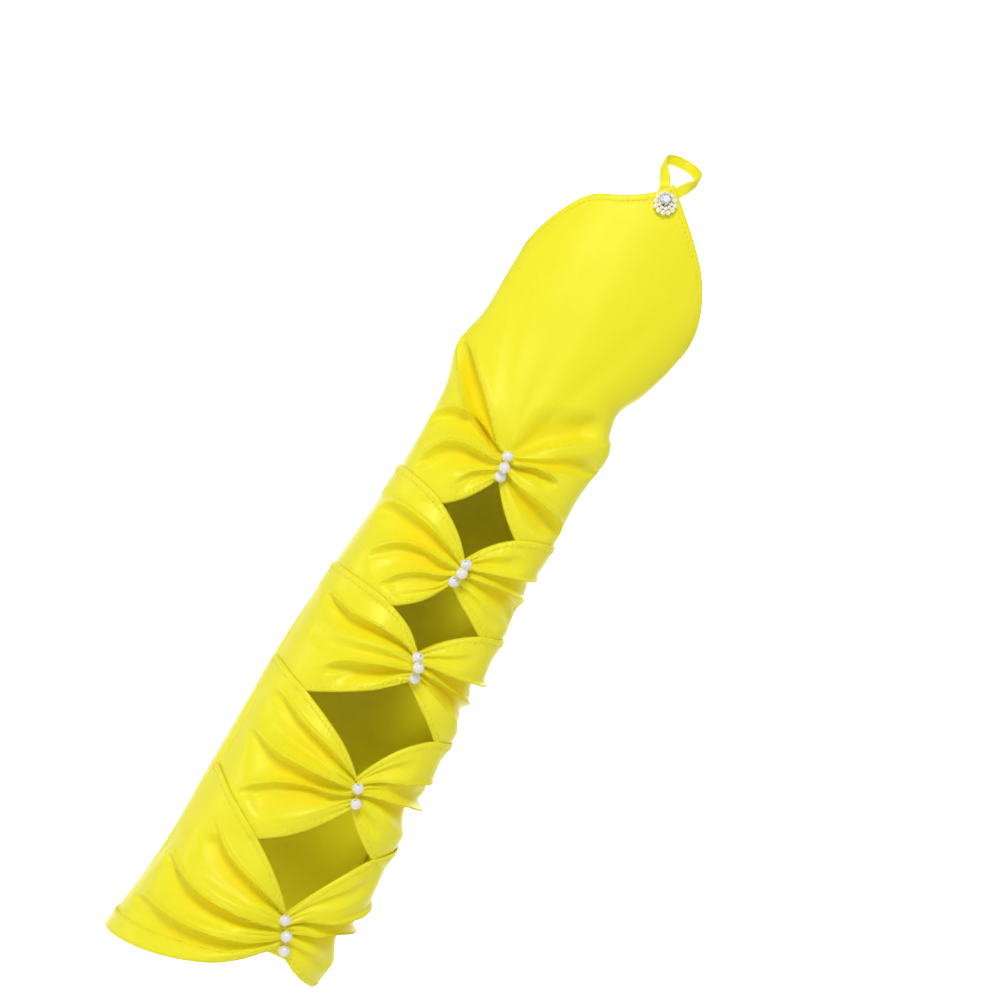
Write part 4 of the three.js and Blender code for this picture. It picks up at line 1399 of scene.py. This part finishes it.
class MITTEN_OT_studio(bpy.types.Operator):
    """Set up the pale floor, the soft lights and the camera"""

    bl_idname = "mitten.studio"
    bl_label = "Studio"

    def execute(self, context):
        self.backdrop()
        world = bpy.data.worlds.new("studio_world")
        world.use_nodes = True
        world.node_tree.nodes["Background"].inputs["Color"].default_value = (1, 1, 1, 1)
        world.node_tree.nodes["Background"].inputs["Strength"].default_value = WORLD_STRENGTH
        context.scene.world = world
        for entry in LIGHTS:
            self.area_light(entry)
        self.camera(context)
        context.scene.view_settings.view_transform = "Standard"
        return {"FINISHED"}

    def backdrop(self):
        clear_objects_selected()
        bpy.ops.mesh.primitive_plane_add(size=FLOOR_SIZE, location=(0, -1.2, cad_bounds[0][2] - FLOOR_DROP))
        floor = bpy.context.object
        floor.name = "studio_floor"
        select_vertices(floor, lambda co: co.y > 0)
        bpy.ops.mesh.select_mode(type="EDGE")
        bend = math.radians(90) / SWEEP_STEPS
        pace = SWEEP_RADIUS * bend
        tilts = [(step + 0.5) * bend for step in range(SWEEP_STEPS)]
        sweep = [(0, pace * math.cos(tilt), pace * math.sin(tilt)) for tilt in tilts]
        for move in [*sweep, (0, 0, WALL_HEIGHT)]:
            bpy.ops.mesh.extrude_region_move(TRANSFORM_OT_translate={"value": move})
        bpy.ops.mesh.select_all(action="SELECT")
        bpy.ops.mesh.normals_make_consistent(inside=False)
        bpy.ops.object.mode_set(mode="OBJECT")
        bpy.ops.object.shade_smooth()
        bpy.ops.object.transform_apply(location=True, rotation=True, scale=True)
        floor.data.materials.append(finish("studio_paper"))

    def area_light(self, entry):
        bpy.ops.object.light_add(type="AREA", location=entry.place)
        light = bpy.context.object
        light.name = entry.name
        light.data.shape = "SQUARE"
        light.data.size = entry.size
        light.data.energy = entry.power
        light.data.spread = math.radians(entry.spread)
        light.rotation_mode = "QUATERNION"
        light.rotation_quaternion = (Vector(entry.aim) - Vector(entry.place)).to_track_quat("-Z", "Y")

    def camera(self, context):
        lean = math.radians(VIEW_LEAN)
        right = Vector((math.cos(lean), 0, math.sin(lean)))
        up = Vector((-math.sin(lean), 0, math.cos(lean)))
        back = Vector((0, -1, 0))
        bpy.ops.object.camera_add()
        camera = context.object
        camera.data.sensor_width = SENSOR_WIDTH
        camera.data.lens = SENSOR_WIDTH * (VIEW_DISTANCE - FACE_DEPTH) / VIEW_WIDTH
        turn = Matrix((right, up, back)).transposed().to_4x4()
        camera.matrix_world = Matrix.Translation(Vector(VIEW_MIDDLE) + back * VIEW_DISTANCE) @ turn
        camera.data.clip_start = 0.05
        camera.data.clip_end = 30
        context.scene.camera = camera


class MITTEN_PT_panel(bpy.types.Panel):
    """The mitten's sizes, colours and pieces"""

    bl_idname = "MITTEN_PT_panel"
    bl_label = "Evening mitten"
    bl_space_type = "VIEW_3D"
    bl_region_type = "UI"
    bl_category = "Mitten"

    def draw(self, context):
        for name in ("mitten_sizes", "mitten_colours"):
            group = getattr(context.scene, name)
            column = self.layout.column()
            for key in group.bl_rna.properties.keys():
                if key not in ("name", "rna_type"):
                    column.prop(group, key)
        for step in STEPS:
            self.layout.operator(step.bl_idname)


STEPS = (
    MITTEN_OT_studio,
    MITTEN_OT_back_panel,
    MITTEN_OT_hand_panel,
    MITTEN_OT_ruched_bands,
    MITTEN_OT_finger_loop,
    MITTEN_OT_topstitching,
    MITTEN_OT_pearls,
    MITTEN_OT_gather_threads,
    MITTEN_OT_button,
)
CLASSES = (MittenSizes, MittenColours, *STEPS, MITTEN_PT_panel)


def register():
    for entry in CLASSES:
        bpy.utils.register_class(entry)
    bpy.types.Scene.mitten_sizes = bpy.props.PointerProperty(type=MittenSizes)
    bpy.types.Scene.mitten_colours = bpy.props.PointerProperty(type=MittenColours)


def unregister():
    del bpy.types.Scene.mitten_colours
    del bpy.types.Scene.mitten_sizes
    for entry in reversed(CLASSES):
        bpy.utils.unregister_class(entry)


def main():
    register()
    bpy.ops.mitten.studio()
    bpy.ops.mitten.back_panel()
    bpy.ops.mitten.hand_panel()
    bpy.ops.mitten.ruched_bands()
    bpy.ops.mitten.finger_loop()
    bpy.ops.mitten.topstitching()
    bpy.ops.mitten.pearls()
    bpy.ops.mitten.gather_threads()
    bpy.ops.mitten.button()


if __name__ == "__main__":
    main()
